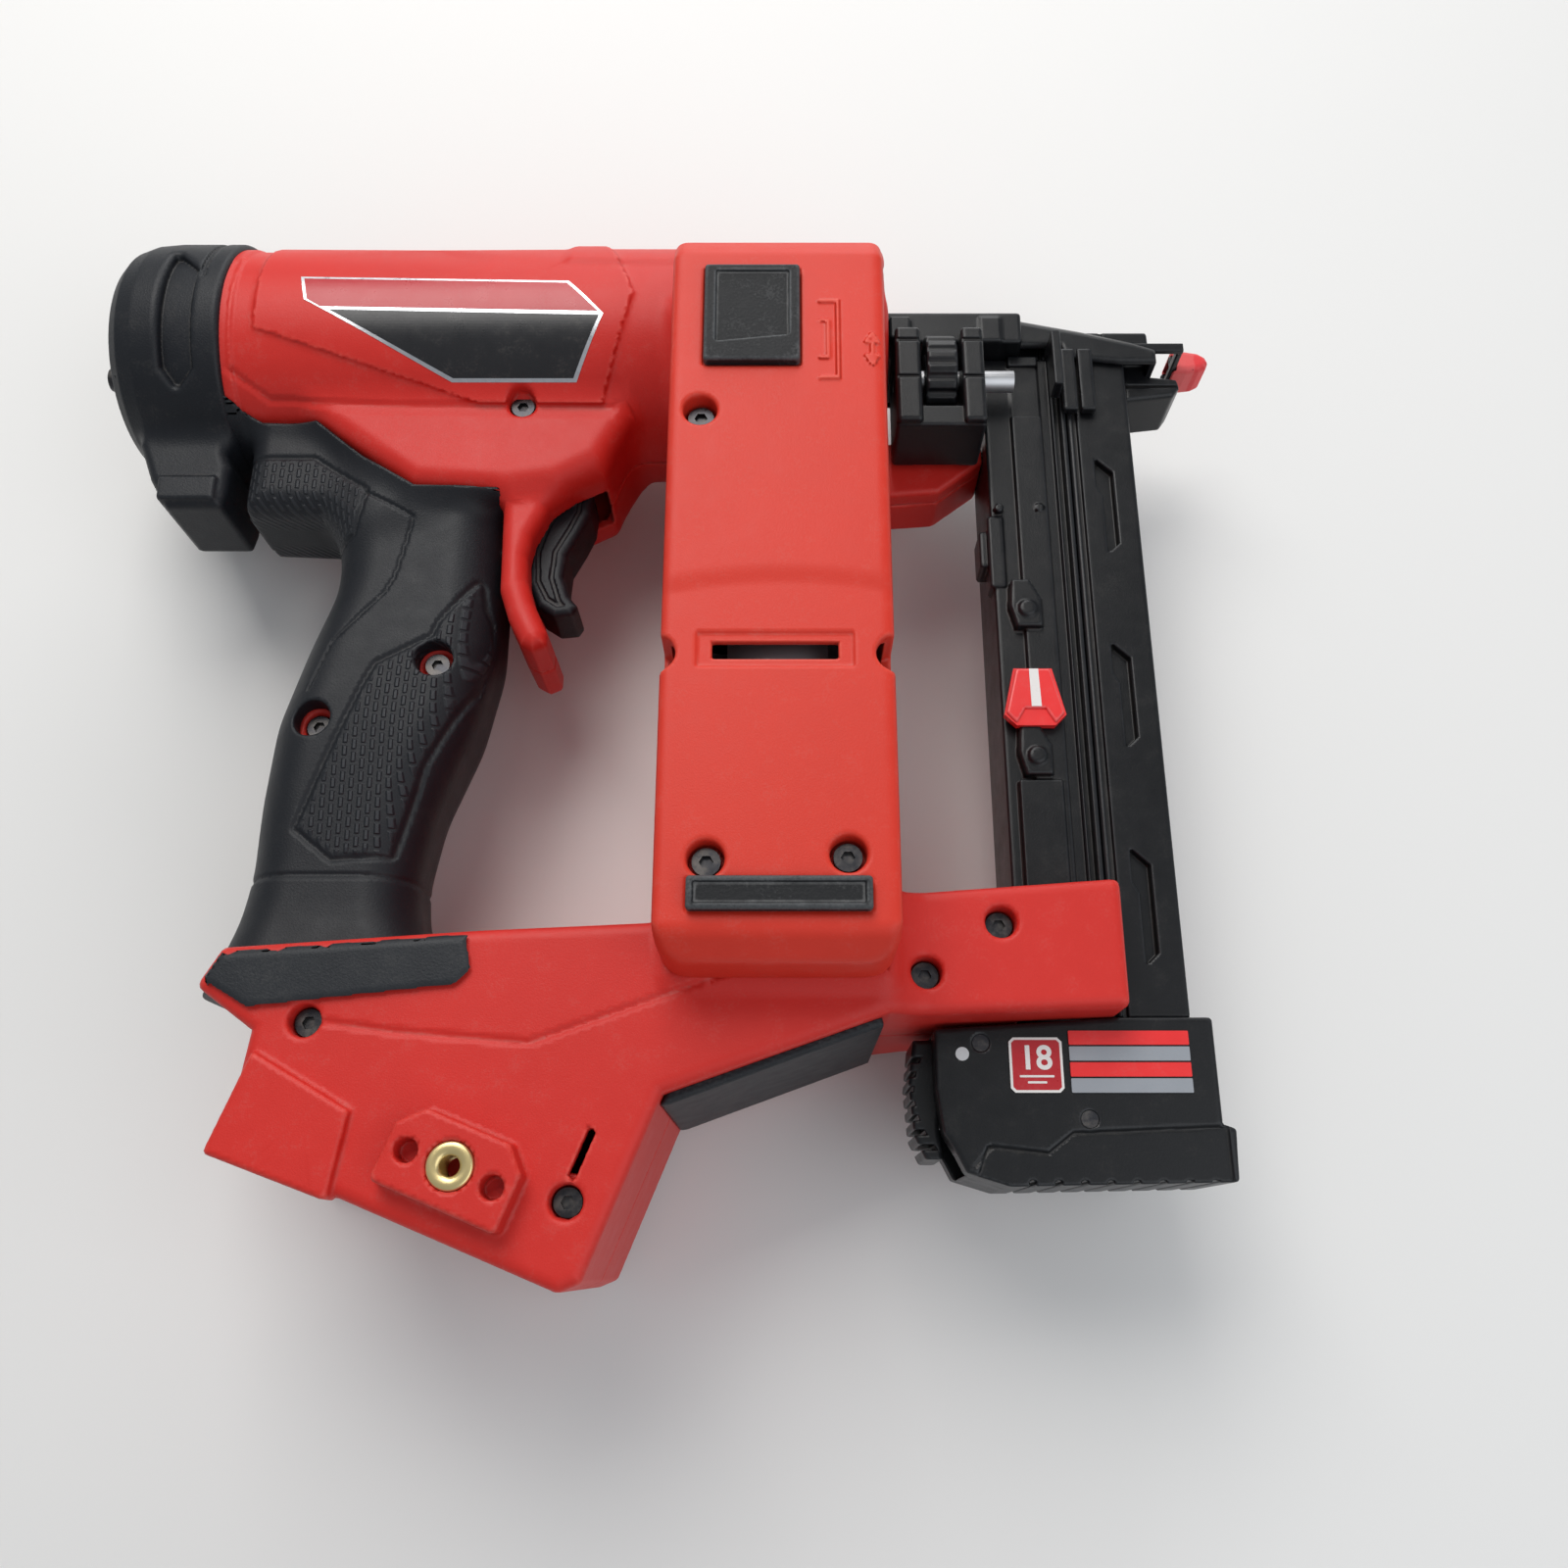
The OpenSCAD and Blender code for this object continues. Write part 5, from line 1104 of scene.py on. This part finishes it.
class MagazineRail(Moulding):
    """The fixed rail: a long black channel with a step, clips, pins' seats and a ribbed back."""

    def __init__(self) -> None:
        """Sets the rail up."""
        super().__init__("magazine_channel", "body", ("magazine_rail",), Finishes.SATIN, (52.5, -198, -19), (81, -4.5, 19), 0.7, 0.7)

    def shape(self, x: Array, y: Array, z: Array) -> Array:
        """Returns the rail's field."""
        body = box_field(x, y, z, (57.1, -197, -12.5), (80, -5.7, 12.5), 0.8)
        body = smooth_min(body, box_field(x, y, z, (64.5, -197, -14), (73.0, -5.7, 14), 0.5), 0.4)
        body = smooth_min(body, box_field(x, y, z, (76.0, -197, -14), (80, -5.7, 14), 0.6), 0.4)
        body = smooth_max(body, -np.maximum(np.abs(x - 77.6) - 0.9, 11.4 - np.abs(z)), 0.5)
        for cy in (-88.0, -130.0):
            clip = extrude(polygon_distance(x, y, ((61, cy + 9), (66, cy + 9), (69, cy + 3), (69, cy - 5), (62, cy - 5), (60.5, cy + 1)), 0.6),
                           np.abs(z), 10.0, 16.0, 0.8)
            knob = rod_field(x, y, np.abs(z), (65, cy), 2.4, 12.0, 16.9, 0.9)
            body = smooth_min(body, smooth_min(clip, knob, 0.8), 0.5)
        catch = np.minimum(box_field(x, y, z, (53.8, -73, 2), (59.0, -62, 11.6), 0.7), box_field(x, y, z, (56, -80, 6), (60.5, -58, 13.2), 0.7))
        window = box_field(x, y, z, (61.5, -26, 12.8), (73.5, -9.0, 30), 0.4)
        body = smooth_max(smooth_min(body, catch, 0.4), -window, 0.4)
        step = box_field(x, y, z, (60.2, -198, 12.0), (71.4, -136, 14.7), 0.4)
        body = smooth_min(body, step, 0.3)
        for cx in (59.4, 70.5):
            body = smooth_min(body, rod_field(x, y, np.abs(z), (cx, -56.0), 1.3, 11.0, 14.6, 0.4), 0.2)
        inner = np.maximum(box_field(x, y, z, (59.5, -199, -8.2), (90, -4, 8.2), 0.3), -box_field(x, y, z, (55, -500, -50), (59, 50, 50), 0.1))
        return smooth_max(body, -inner, 0.3)


class MagazineCover(Moulding):
    """The sliding cover: a long black box with three slanted pockets in each side."""

    def __init__(self) -> None:
        """Sets the cover up."""
        super().__init__("magazine_slide_cover", "magazine_slide", ("magazine_cover",), Finishes.SATIN, (79.5, -198, -15), (99, -5, 15), 0.6, 0.7)

    def shape(self, x: Array, y: Array, z: Array) -> Array:
        """Returns the cover's field."""
        body = box_field(x, y, z, (80.4, -197, -14), (98, -6.1, 14), 0.9)
        body = smooth_max(body, -np.maximum(np.abs(x - 82.4) - 0.6, 13.2 - np.abs(z)), 0.4)
        for cy in (-54.0, -111.0, -168.0):
            pocket = polygon_distance(x, y, ((87.0, cy + 14), (91.8, cy + 9.5), (91.8, cy - 13), (88.6, cy - 16), (88.6, cy + 2), (87.0, cy + 5)), 0.4)
            body = smooth_max(body, -np.maximum(pocket, 11.6 - np.abs(z)), 0.5)
        return smooth_max(body, -box_field(x, y, z, (70, -199, -8.2), (94.6, -4, 8.2), 0.3), 0.3)


class EndBlock(Moulding):
    """The black block at the magazine's foot, with a toe ledge, a slanted lip and screw wells."""

    OUTLINE = ((35.6, -200), (80.3, -197.2), (102, -197.2), (102, -222), (105, -223), (104.4, -235), (52, -236), (42, -233), (40, -229),
               (37, -224), (35.6, -214))

    def __init__(self) -> None:
        """Sets the block up."""
        super().__init__("magazine_foot", "magazine_slide", ("magazine_end",), Finishes.SATIN, (34, -237, -19), (106.5, -196, 19), 0.6, 0.8)

    def shape(self, x: Array, y: Array, z: Array) -> Array:
        """Returns the block's field."""
        body = extrude(polygon_distance(x, y, self.OUTLINE, 1.0), z, -17.9, 17.9, 1.3)
        lip = polyline_distance(x, y, ((44, -231.5), (48, -227), (61, -228.5), (67, -224), (101, -222.5)))
        below = polygon_distance(x, y, ((42, -240), (47, -227), (61, -228.5), (67, -224), (110, -222.3), (110, -240)))
        body = smooth_max(body, np.abs(z) - 17.9 + 0.9 * fade(-below, -0.4, 0.4) * (x < 103), 0.5)
        body = body + np.maximum(0, 0.35 - 0.5 * lip) * (np.abs(z) > 14)
        window = extrude(polygon_distance(x, y, ((29, -200.5), (45.3, -200.5), (45.3, -231.5), (41, -234), (29, -234)), 0.3), z, -10.4, 10.4, 0.4)
        body = smooth_max(body, -window, 0.3)
        for sx, sy in ((46.5, -203.4), (71, -221)):
            body = smooth_max(body, -rod_field(x, y, z, (sx, sy), 2.0, 16.0, 40, 0.1), 0.5)
        ribs = np.maximum(np.abs((x - 54.0) % 6.0 - 3.0) - 0.7, y + 234.6) + 30 * (x < 54) + 30 * (x > 102)
        return smooth_max(body, -ribs, 0.4)


class Latch(Moulding):
    """The squeeze latch: a curved lever, ribbed where the thumb presses it."""

    def __init__(self) -> None:
        """Sets the latch up."""
        super().__init__("squeeze_latch", "latch", ("release_latch",), Finishes.SATIN, (29, -232, -11), (46, -200.5, 11), 0.4)

    def shape(self, x: Array, y: Array, z: Array) -> Array:
        """Returns the latch's field, with the pin's hole."""
        plan = polygon_distance(x, y, ((31.2, -201.5), (42, -201.5), (45, -204), (45, -209), (38.4, -211), (36.8, -222), (37.6, -230.8),
                                       (34, -230.8), (30.8, -224), (29.9, -212)), 0.6)
        body = extrude(plan, z, -10.0, 10.0, 1.2)
        ribs = np.maximum(np.abs((y + 208.0) % 3.4 - 1.7) - 0.6, plan * 0.0 + x - 31.0 - 0.03 * (y + 214) ** 2)
        body = smooth_max(body, -np.maximum(ribs, y + 205.0), 0.5)
        return np.maximum(body, 1.75 - np.hypot(x - 42, y + 206))


class Pusher(Moulding):
    """The red staple pusher seen through the rail, with a flared tail."""

    def __init__(self) -> None:
        """Sets the pusher's flag up."""
        super().__init__("pusher_flag", "pusher_shoe", (), Finishes.INDICATOR, (55, -124, 13.5), (75, -104, 19), 0.4)

    def shape(self, x: Array, y: Array, z: Array) -> Array:
        """Returns the flag's field."""
        plan = polygon_distance(x, y, ((60.5, -106.2), (69.5, -106.2), (72.6, -118.6), (70, -121.6), (67.6, -117.5), (62.4, -117.5),
                                       (60, -121.6), (57.4, -118.6)), 0.5)
        return extrude(plan, z, 14.9, 17.6, 0.7)


class SoftTip(Moulding):
    """The red no-mar tip: a soft thimble over the contact foot, rounded off towards the work."""

    SIDE = ((114.8, 2.9), (119.0, 2.8), (122.8, 2.1), (125.0, 0.6), (125.7, -1.2), (125.0, -3.0), (122.8, -4.2), (119.0, -4.7),
            (114.8, -4.6))

    def __init__(self) -> None:
        """Sets the tip up."""
        super().__init__("soft_tip_cap", "soft_tip", ("no_mar_tip",), Finishes.TIP, (113.0, -5.5, -7), (126.5, 3.8, 7), 0.3)

    def shape(self, x: Array, y: Array, z: Array) -> Array:
        """Returns the tip's field, with the pocket for the contact foot and the staple's way through."""
        body = extrude(polygon_distance(x, y, self.SIDE, 0.8), z, -6.0, 6.0, 2.0)
        pocket = np.minimum(box_field(x, y, z, (105, -3.95, -5.25), (121.0, 1.35, 5.25), 0.1), box_field(x, y, z, (105, -4.0, -30), (116.0, -1.2, 30), 0.1))
        return np.maximum(body, -np.minimum(pocket, box_field(x, y, z, (110, -1.9, -3.6), (140, 1.9, 3.6), 0.1)))


Place = Callable[[Array, Array, Array], Array]


def round_the_barrel(x: Array, s: Array, height: Array) -> Array:
    """Lays label lengths on the barrel: s runs round it from the label's middle line."""
    a = math.radians(SIZE.label_tilt) + s / SIZE.barrel_r
    r = SIZE.barrel_r + height
    return np.stack([x, -r * np.sin(a), r * np.cos(a)], -1)


def on_the_block(x: Array, s: Array, height: Array) -> Array:
    """Lays plate lengths on the magazine foot's right face; s runs downwards."""
    return np.stack([x, -s, 17.7 + height], -1)


def plate(name: str, outline: Sequence[Sequence[float]], place: Place, low: float, high: float, rows: int = 24) -> bpy.types.Object:
    """Draws a thin closed plate with a convex outline, bent to whatever place does.

    The outline is cut by level lines. Each line's left and right ends, at the plate's top and back, make a
    four-sided ring, and the rings are joined in order, so the plate bends along its rows.

    Args:
        name: the piece's name.
        outline: corners (x, s) of a convex shape.
        place: carries x, s and height to the tool frame.
        low, high: heights of the plate's back and top.
        rows: level lines beside those through the corners.

    Returns:
        The plate.
    """
    pts = np.asarray(outline, float)
    s0, s1 = pts[:, 1].min(), pts[:, 1].max()
    levels = np.unique(np.round(np.concatenate([pts[:, 1], np.linspace(s0, s1, rows)]), 4))
    probe = np.clip(levels, s0 + 1e-4, s1 - 1e-4)[:, None]
    a, b = pts[None], np.roll(pts, -1, 0)[None]
    crosses = (a[..., 1] <= probe) != (b[..., 1] <= probe)
    rise = np.where(crosses, b[..., 1] - a[..., 1], 1.0)
    at = a[..., 0] + (b[..., 0] - a[..., 0]) * (probe - a[..., 1]) / rise
    left = np.where(crosses, at, np.inf).min(1)
    right = np.where(crosses, at, -np.inf).max(1)
    ring_x = np.stack([left, right, right, left], 1)
    ring_s = np.repeat(levels[:, None], 4, 1)
    ring_h = np.repeat(np.array([[high, high, low, low]], float), len(levels), 0)
    points = place(ring_x, ring_s, ring_h).reshape(-1, 3)
    n = len(levels)
    i, j = np.repeat(np.arange(n - 1), 4), np.tile(np.arange(4), n - 1)
    j2 = (j + 1) % 4
    faces = np.stack([i * 4 + j, (i + 1) * 4 + j, (i + 1) * 4 + j2, i * 4 + j2], 1)
    ends = np.array([[0, 1, 2, 3], [4 * n - 1, 4 * n - 2, 4 * n - 3, 4 * n - 4]])
    obj = make_object(name, points, np.concatenate([faces, ends]))
    obj.data.shade_flat()
    return obj


class RatingLabel:
    """The barrel's label: a foil plate with a red band above a black field, and no words."""

    FOIL = ((-134.5, -19.6), (-59.8, -18.0), (-49.8, -7.3), (-57.5, 11.4), (-92.0, 11.4), (-132.6, -11.6))
    BAND = ((-133.4, -18.8), (-60.3, -17.2), (-51.4, -8.0), (-128.0, -9.4), (-131.8, -11.7))
    FIELD = ((-125.5, -8.4), (-51.0, -6.8), (-58.3, 10.3), (-91.6, 10.3))

    def build(self) -> None:
        """Builds the plate and its two fields."""
        settle_in(plate("label_foil", self.FOIL, round_the_barrel, -0.5, 0.22, 36), "body", ("label_plate",), Finishes.FOIL)
        settle_in(plate("label_band", self.BAND, round_the_barrel, 0.1, 0.30, 12), "body", (), Finishes.LABEL_RED)
        settle_in(plate("label_field", self.FIELD, round_the_barrel, 0.1, 0.30, 24), "body", (), Finishes.LABEL_BLACK)


class MagazineLabels:
    """The gauge badge and the four stripes on the magazine foot."""

    @staticmethod
    def rectangle(x0: float, x1: float, s0: float, s1: float, corner: float) -> list[tuple[float, float]]:
        """Returns a rectangle's outline with its corners cut."""
        c = corner
        return [(x0 + c, s0), (x1 - c, s0), (x1, s0 + c), (x1, s1 - c), (x1 - c, s1), (x0 + c, s1), (x0, s1 - c), (x0, s0 + c)]

    def build(self) -> None:
        """Builds the badge, its number and the stripes."""
        body = "magazine_slide"
        settle_in(plate("badge_border", self.rectangle(53, 65.5, 202.2, 215, 1.0), on_the_block, -0.3, 0.5, 2), body,
                  ("magazine_labels",), Finishes.WHITE)
        settle_in(plate("badge_field", self.rectangle(53.6, 64.9, 202.8, 214.4, 0.7), on_the_block, 0.3, 0.56, 2), body, (),
                  Finishes.LABEL_RED)
        for k in range(2):
            settle_in(plate(f"badge_rule_{k + 1}", self.rectangle(55.2 + 1.8 * k, 63.3 - 1.8 * k, 211.0 + 1.4 * k, 211.5 + 1.4 * k, 0.1),
                            on_the_block, 0.4, 0.62, 2), body, (), Finishes.WHITE)
        self.number(body)
        for k in range(4):
            strip = plate(f"stripe_{k + 1}", self.rectangle(67.2, 95.6, 200.6 + 3.7 * k, 203.9 + 3.7 * k, 0.15), on_the_block, -0.3, 0.5, 2)
            settle_in(strip, body, (), Finishes.INDICATOR if k % 2 == 0 else Finishes.LABEL_GREY)

    def number(self, body: str) -> None:
        """Builds the gauge number as a raised flat mesh."""
        curve = bpy.data.curves.new("gauge_number", "FONT")
        curve.body, curve.size, curve.offset, curve.extrude = "18", 0.0078, 0.00016, 0.00006
        curve.align_x, curve.align_y = "CENTER", "CENTER"
        maker = bpy.data.objects.new("gauge_number_text", curve)
        bpy.context.scene.collection.objects.link(maker)
        mesh = bpy.data.meshes.new_from_object(maker.evaluated_get(bpy.context.evaluated_depsgraph_get()))
        bpy.data.objects.remove(maker)
        co = np.empty(len(mesh.vertices) * 3, np.float32)
        mesh.vertices.foreach_get("co", co)
        p = co.reshape(-1, 3).astype(float)
        p += TOOL.metres([59.2, -207.2, 18.3])
        mesh.vertices.foreach_set("co", p.astype(np.float32).ravel())
        obj = bpy.data.objects.new("gauge_number", mesh)
        bpy.context.scene.collection.objects.link(obj)
        settle_in(obj, body, (), Finishes.WHITE)


class PusherStripe:
    """The white stripe on the red pusher."""

    def build(self) -> None:
        """Builds the stripe on the flag's face."""
        def on_the_flag(x: Array, s: Array, height: Array) -> Array:
            """Lays the stripe on the flag's right face."""
            return np.stack([x, -s, 17.4 + height], -1)
        settle_in(plate("pusher_stripe", ((63.9, 106.4), (66.3, 106.4), (66.6, 117.0), (64.0, 117.0)), on_the_flag, 0.0, 0.35, 2),
                  "pusher_shoe", (), Finishes.WHITE)


class FootSkin(Moulding):
    """The black soft strip on the foot's shoulder, on both sides."""

    UNDERSIDE = ((22, -198.2), (-26, -215.6), (-28, -219.4), (-25.6, -219.0), (23, -201.4))
    OUTLINE = ((-132.5, -192.5), (-128.5, -185.2), (-72, -181.0), (-70, -190), (-74, -194), (-121, -199.2))

    def __init__(self) -> None:
        """Sets the strip up."""
        super().__init__("foot_skin", "body", ("foot_overmold",), Finishes.OVERMOLD, (-136, -222, -38), (26, -178, 38), 0.8, 0.7)

    def shape(self, x: Array, y: Array, z: Array) -> Array:
        """Returns the strip's field: its face plates and the roll over the foot's top edge."""
        face = extrude(polygon_distance(x, y, self.OUTLINE, 1.0), z, -37.1, 37.1, 2.6)
        core = extrude(polygon_distance(x, y, FOOT, 2.0), z, -36.0, 36.0, 3.2)
        strip = extrude(polygon_distance(x, y, self.UNDERSIDE, 0.4), z, -31.0, 31.0, 1.2)
        return np.minimum(smooth_max(smooth_max(face, core - 1.1, 1.2), -(core + 0.2), 0.2), smooth_max(strip, -(core + 0.2), 0.2))


class Kept:
    """The CAD pieces that stay as they are: each gets its finish and, where it shows, softened edges."""

    LOOKS: dict[Finishes, tuple[str, ...]] = {
        Finishes.SCREW: ("housing_screws", "cover_screws", "cap_screws", "magazine_screws"),
        Finishes.STEEL: ("trigger_pin", "latch_pin", "depth_stud", "piston_rings", "motor_bearings", "lifter_rollers", "magazine_core"),
        Finishes.DARK_STEEL: ("driver_blade", "lifter_wheel", "planet_carrier", "planet_gear_1", "planet_gear_2",
                              "planet_gear_3", "ring_gear"),
        Finishes.SPRING: ("trigger_spring", "contact_spring", "latch_spring", "pusher_spring"),
        Finishes.ALLOY: ("gas_chamber", "drive_cylinder", "chamber_bulkhead", "piston", "gear_case"),
        Finishes.BRASS: ("terminal_blades", "fill_valve"),
        Finishes.LAMINATION: ("motor_stator", "motor_rotor"),
        Finishes.GREY: ("cooling_fan", "terminal_block", "trigger_switch"),
        Finishes.URETHANE: ("piston_bumper",),
        Finishes.BOARD: ("control_board",),
        Finishes.INDICATOR: ("pusher",),
    }
    SHOWN = ("housing_screws", "cover_screws", "cap_screws", "magazine_screws", "terminal_block", "depth_stud", "pusher")

    def build(self) -> None:
        """Dresses every CAD node that no new piece replaced."""
        for finish, names in self.LOOKS.items():
            for name in names:
                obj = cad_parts[name]
                finish.on(obj)
                if name in self.SHOWN:
                    weld = obj.modifiers.new("weld", "WELD")
                    weld.merge_threshold = 0.00001
                    bevel = obj.modifiers.new("bevel", "BEVEL")
                    bevel.width, bevel.segments, bevel.limit_method, bevel.angle_limit = 0.0002, 2, "ANGLE", math.radians(40)
                log.info("%s kept as %s", name, finish.name.lower())


@dataclass(frozen=True)
class Studio:
    """A pale floor and backdrop, soft lamps and the camera.

    Attributes:
        eye: the camera's place in tool millimetres.
        dip: how far the view leans from straight down, in degrees.
        lens: focal length on a 36 mm sensor.
    """

    eye: tuple[float, float, float] = (0.0, -252.0, 335.0)
    dip: float = 19.7
    lens: float = 30.6
    pale: Colour = (0.80, 0.79, 0.775)

    def floor(self) -> None:
        """Builds the floor, which fades into the backdrop's tone and keeps the shadow."""
        obj = make_object("floor", np.array([[-3000, -3000, -42.2], [3000, -3000, -42.2], [3000, 3000, -42.2], [-3000, 3000, -42.2]], float),
                          np.array([[0, 1, 2, 3]]))
        material = bpy.data.materials.new("floor")
        material.use_nodes = True
        shader = material.node_tree.nodes["Principled BSDF"]
        shader.inputs["Base Color"].default_value = (*self.pale, 1.0)
        shader.inputs["Roughness"].default_value = 0.9
        shader.inputs["Specular IOR Level"].default_value = 0.1
        obj.data.materials.append(material)

    def sky(self) -> None:
        """Lights the scene evenly, and shows a plain pale tone to the camera and to reflections that see past the floor."""
        world = bpy.data.worlds.new("studio")
        bpy.context.scene.world = world
        world.use_nodes = True
        g = Graph(world.node_tree)
        nodes = world.node_tree.nodes
        back = nodes["Background"]
        back.inputs["Color"].default_value = (0.9, 0.95, 1.0, 1.0)
        back.inputs["Strength"].default_value = 0.36
        plain = g.add("ShaderNodeBackground", None, Color=(*self.pale, 1.0), Strength=1.0)
        seen = g.add("ShaderNodeLightPath").outputs
        share = g.math("MAXIMUM", seen["Is Camera Ray"], seen["Is Transmission Ray"])
        mix = g.add("ShaderNodeMixShader", None, Fac=share)
        world.node_tree.links.new(back.outputs[0], mix.inputs[1])
        world.node_tree.links.new(plain.outputs[0], mix.inputs[2])
        world.node_tree.links.new(mix.outputs[0], nodes["World Output"].inputs["Surface"])

    def lamp(self, name: str, place: Sequence[float], target: Sequence[float], size: float, watts: float, tint: Colour) -> None:
        """Hangs a square soft lamp, in tool millimetres, that faces a point."""
        data = bpy.data.lights.new(name, "AREA")
        data.shape, data.size, data.energy, data.color = "SQUARE", size, watts, tint
        obj = bpy.data.objects.new(name, data)
        bpy.context.scene.collection.objects.link(obj)
        start, end = TOOL.metres(place), TOOL.metres(target)
        obj.location = start
        direction = end - start
        flat = math.hypot(direction[0], direction[1])
        obj.rotation_euler = (math.atan2(flat, -direction[2]), 0.0, math.atan2(direction[1], direction[0]) - math.pi / 2)

    def camera(self) -> None:
        """Puts the camera over the tool's foot, looking down and a little towards its top."""
        data = bpy.data.cameras.new("camera")
        data.lens, data.sensor_width, data.clip_start = self.lens, 36.0, 0.01
        obj = bpy.data.objects.new("camera", data)
        bpy.context.scene.collection.objects.link(obj)
        obj.location = TOOL.metres(self.eye)
        obj.rotation_euler = (math.radians(self.dip), 0.0, 0.0)
        bpy.context.scene.camera = obj

    def build(self) -> None:
        """Builds the whole studio."""
        self.floor()
        self.sky()
        self.lamp("key", (-250, 520, 900), (-20, -100, 0), 0.7, 8.2, (1.0, 0.98, 0.95))
        self.lamp("fill", (520, -500, 700), (0, -100, 0), 0.9, 3.2, (0.93, 0.96, 1.0))
        self.lamp("rim", (60, 900, 350), (0, -60, 0), 0.6, 3.0, (1.0, 1.0, 1.0))
        self.camera()
        view = bpy.context.scene.view_settings
        view.view_transform = "Standard"


def corners(pair: Sequence[Sequence[float]]) -> list[list[float]]:
    """Returns a box's two corners as plain lists."""
    return [[float(v) for v in corner] for corner in pair]


def main() -> None:
    """Builds every sub-assembly in order, then the studio."""
    logging.basicConfig(level=logging.INFO, format="%(message)s")
    assemblies = [HousingHalf(1), HousingHalf(-1), GearCover(), Grip(), FootSkin(), EndCap(), Trigger(), Pads(True), Pads(False),
                  RatingLabel(), Bushes(), Nosepiece(), NoseCover(), ContactArm(), WheelBracket(), DepthWheel(), SoftTip(), MagazineRail(),
                  MagazineCover(), EndBlock(), MagazineLabels(), Latch(), Pusher(), PusherStripe(), Kept()]
    mouldings = [part for part in assemblies if isinstance(part, Moulding)]
    with ThreadPoolExecutor(4) as pool:
        list(pool.map(lambda part: part.draw(), mouldings))
        for part in mouldings:
            part.cast()
        list(pool.map(lambda part: part.polish(), mouldings))
    for part in assemblies:
        part.build()
    Studio().build()


if __name__ == "__main__":
    main()
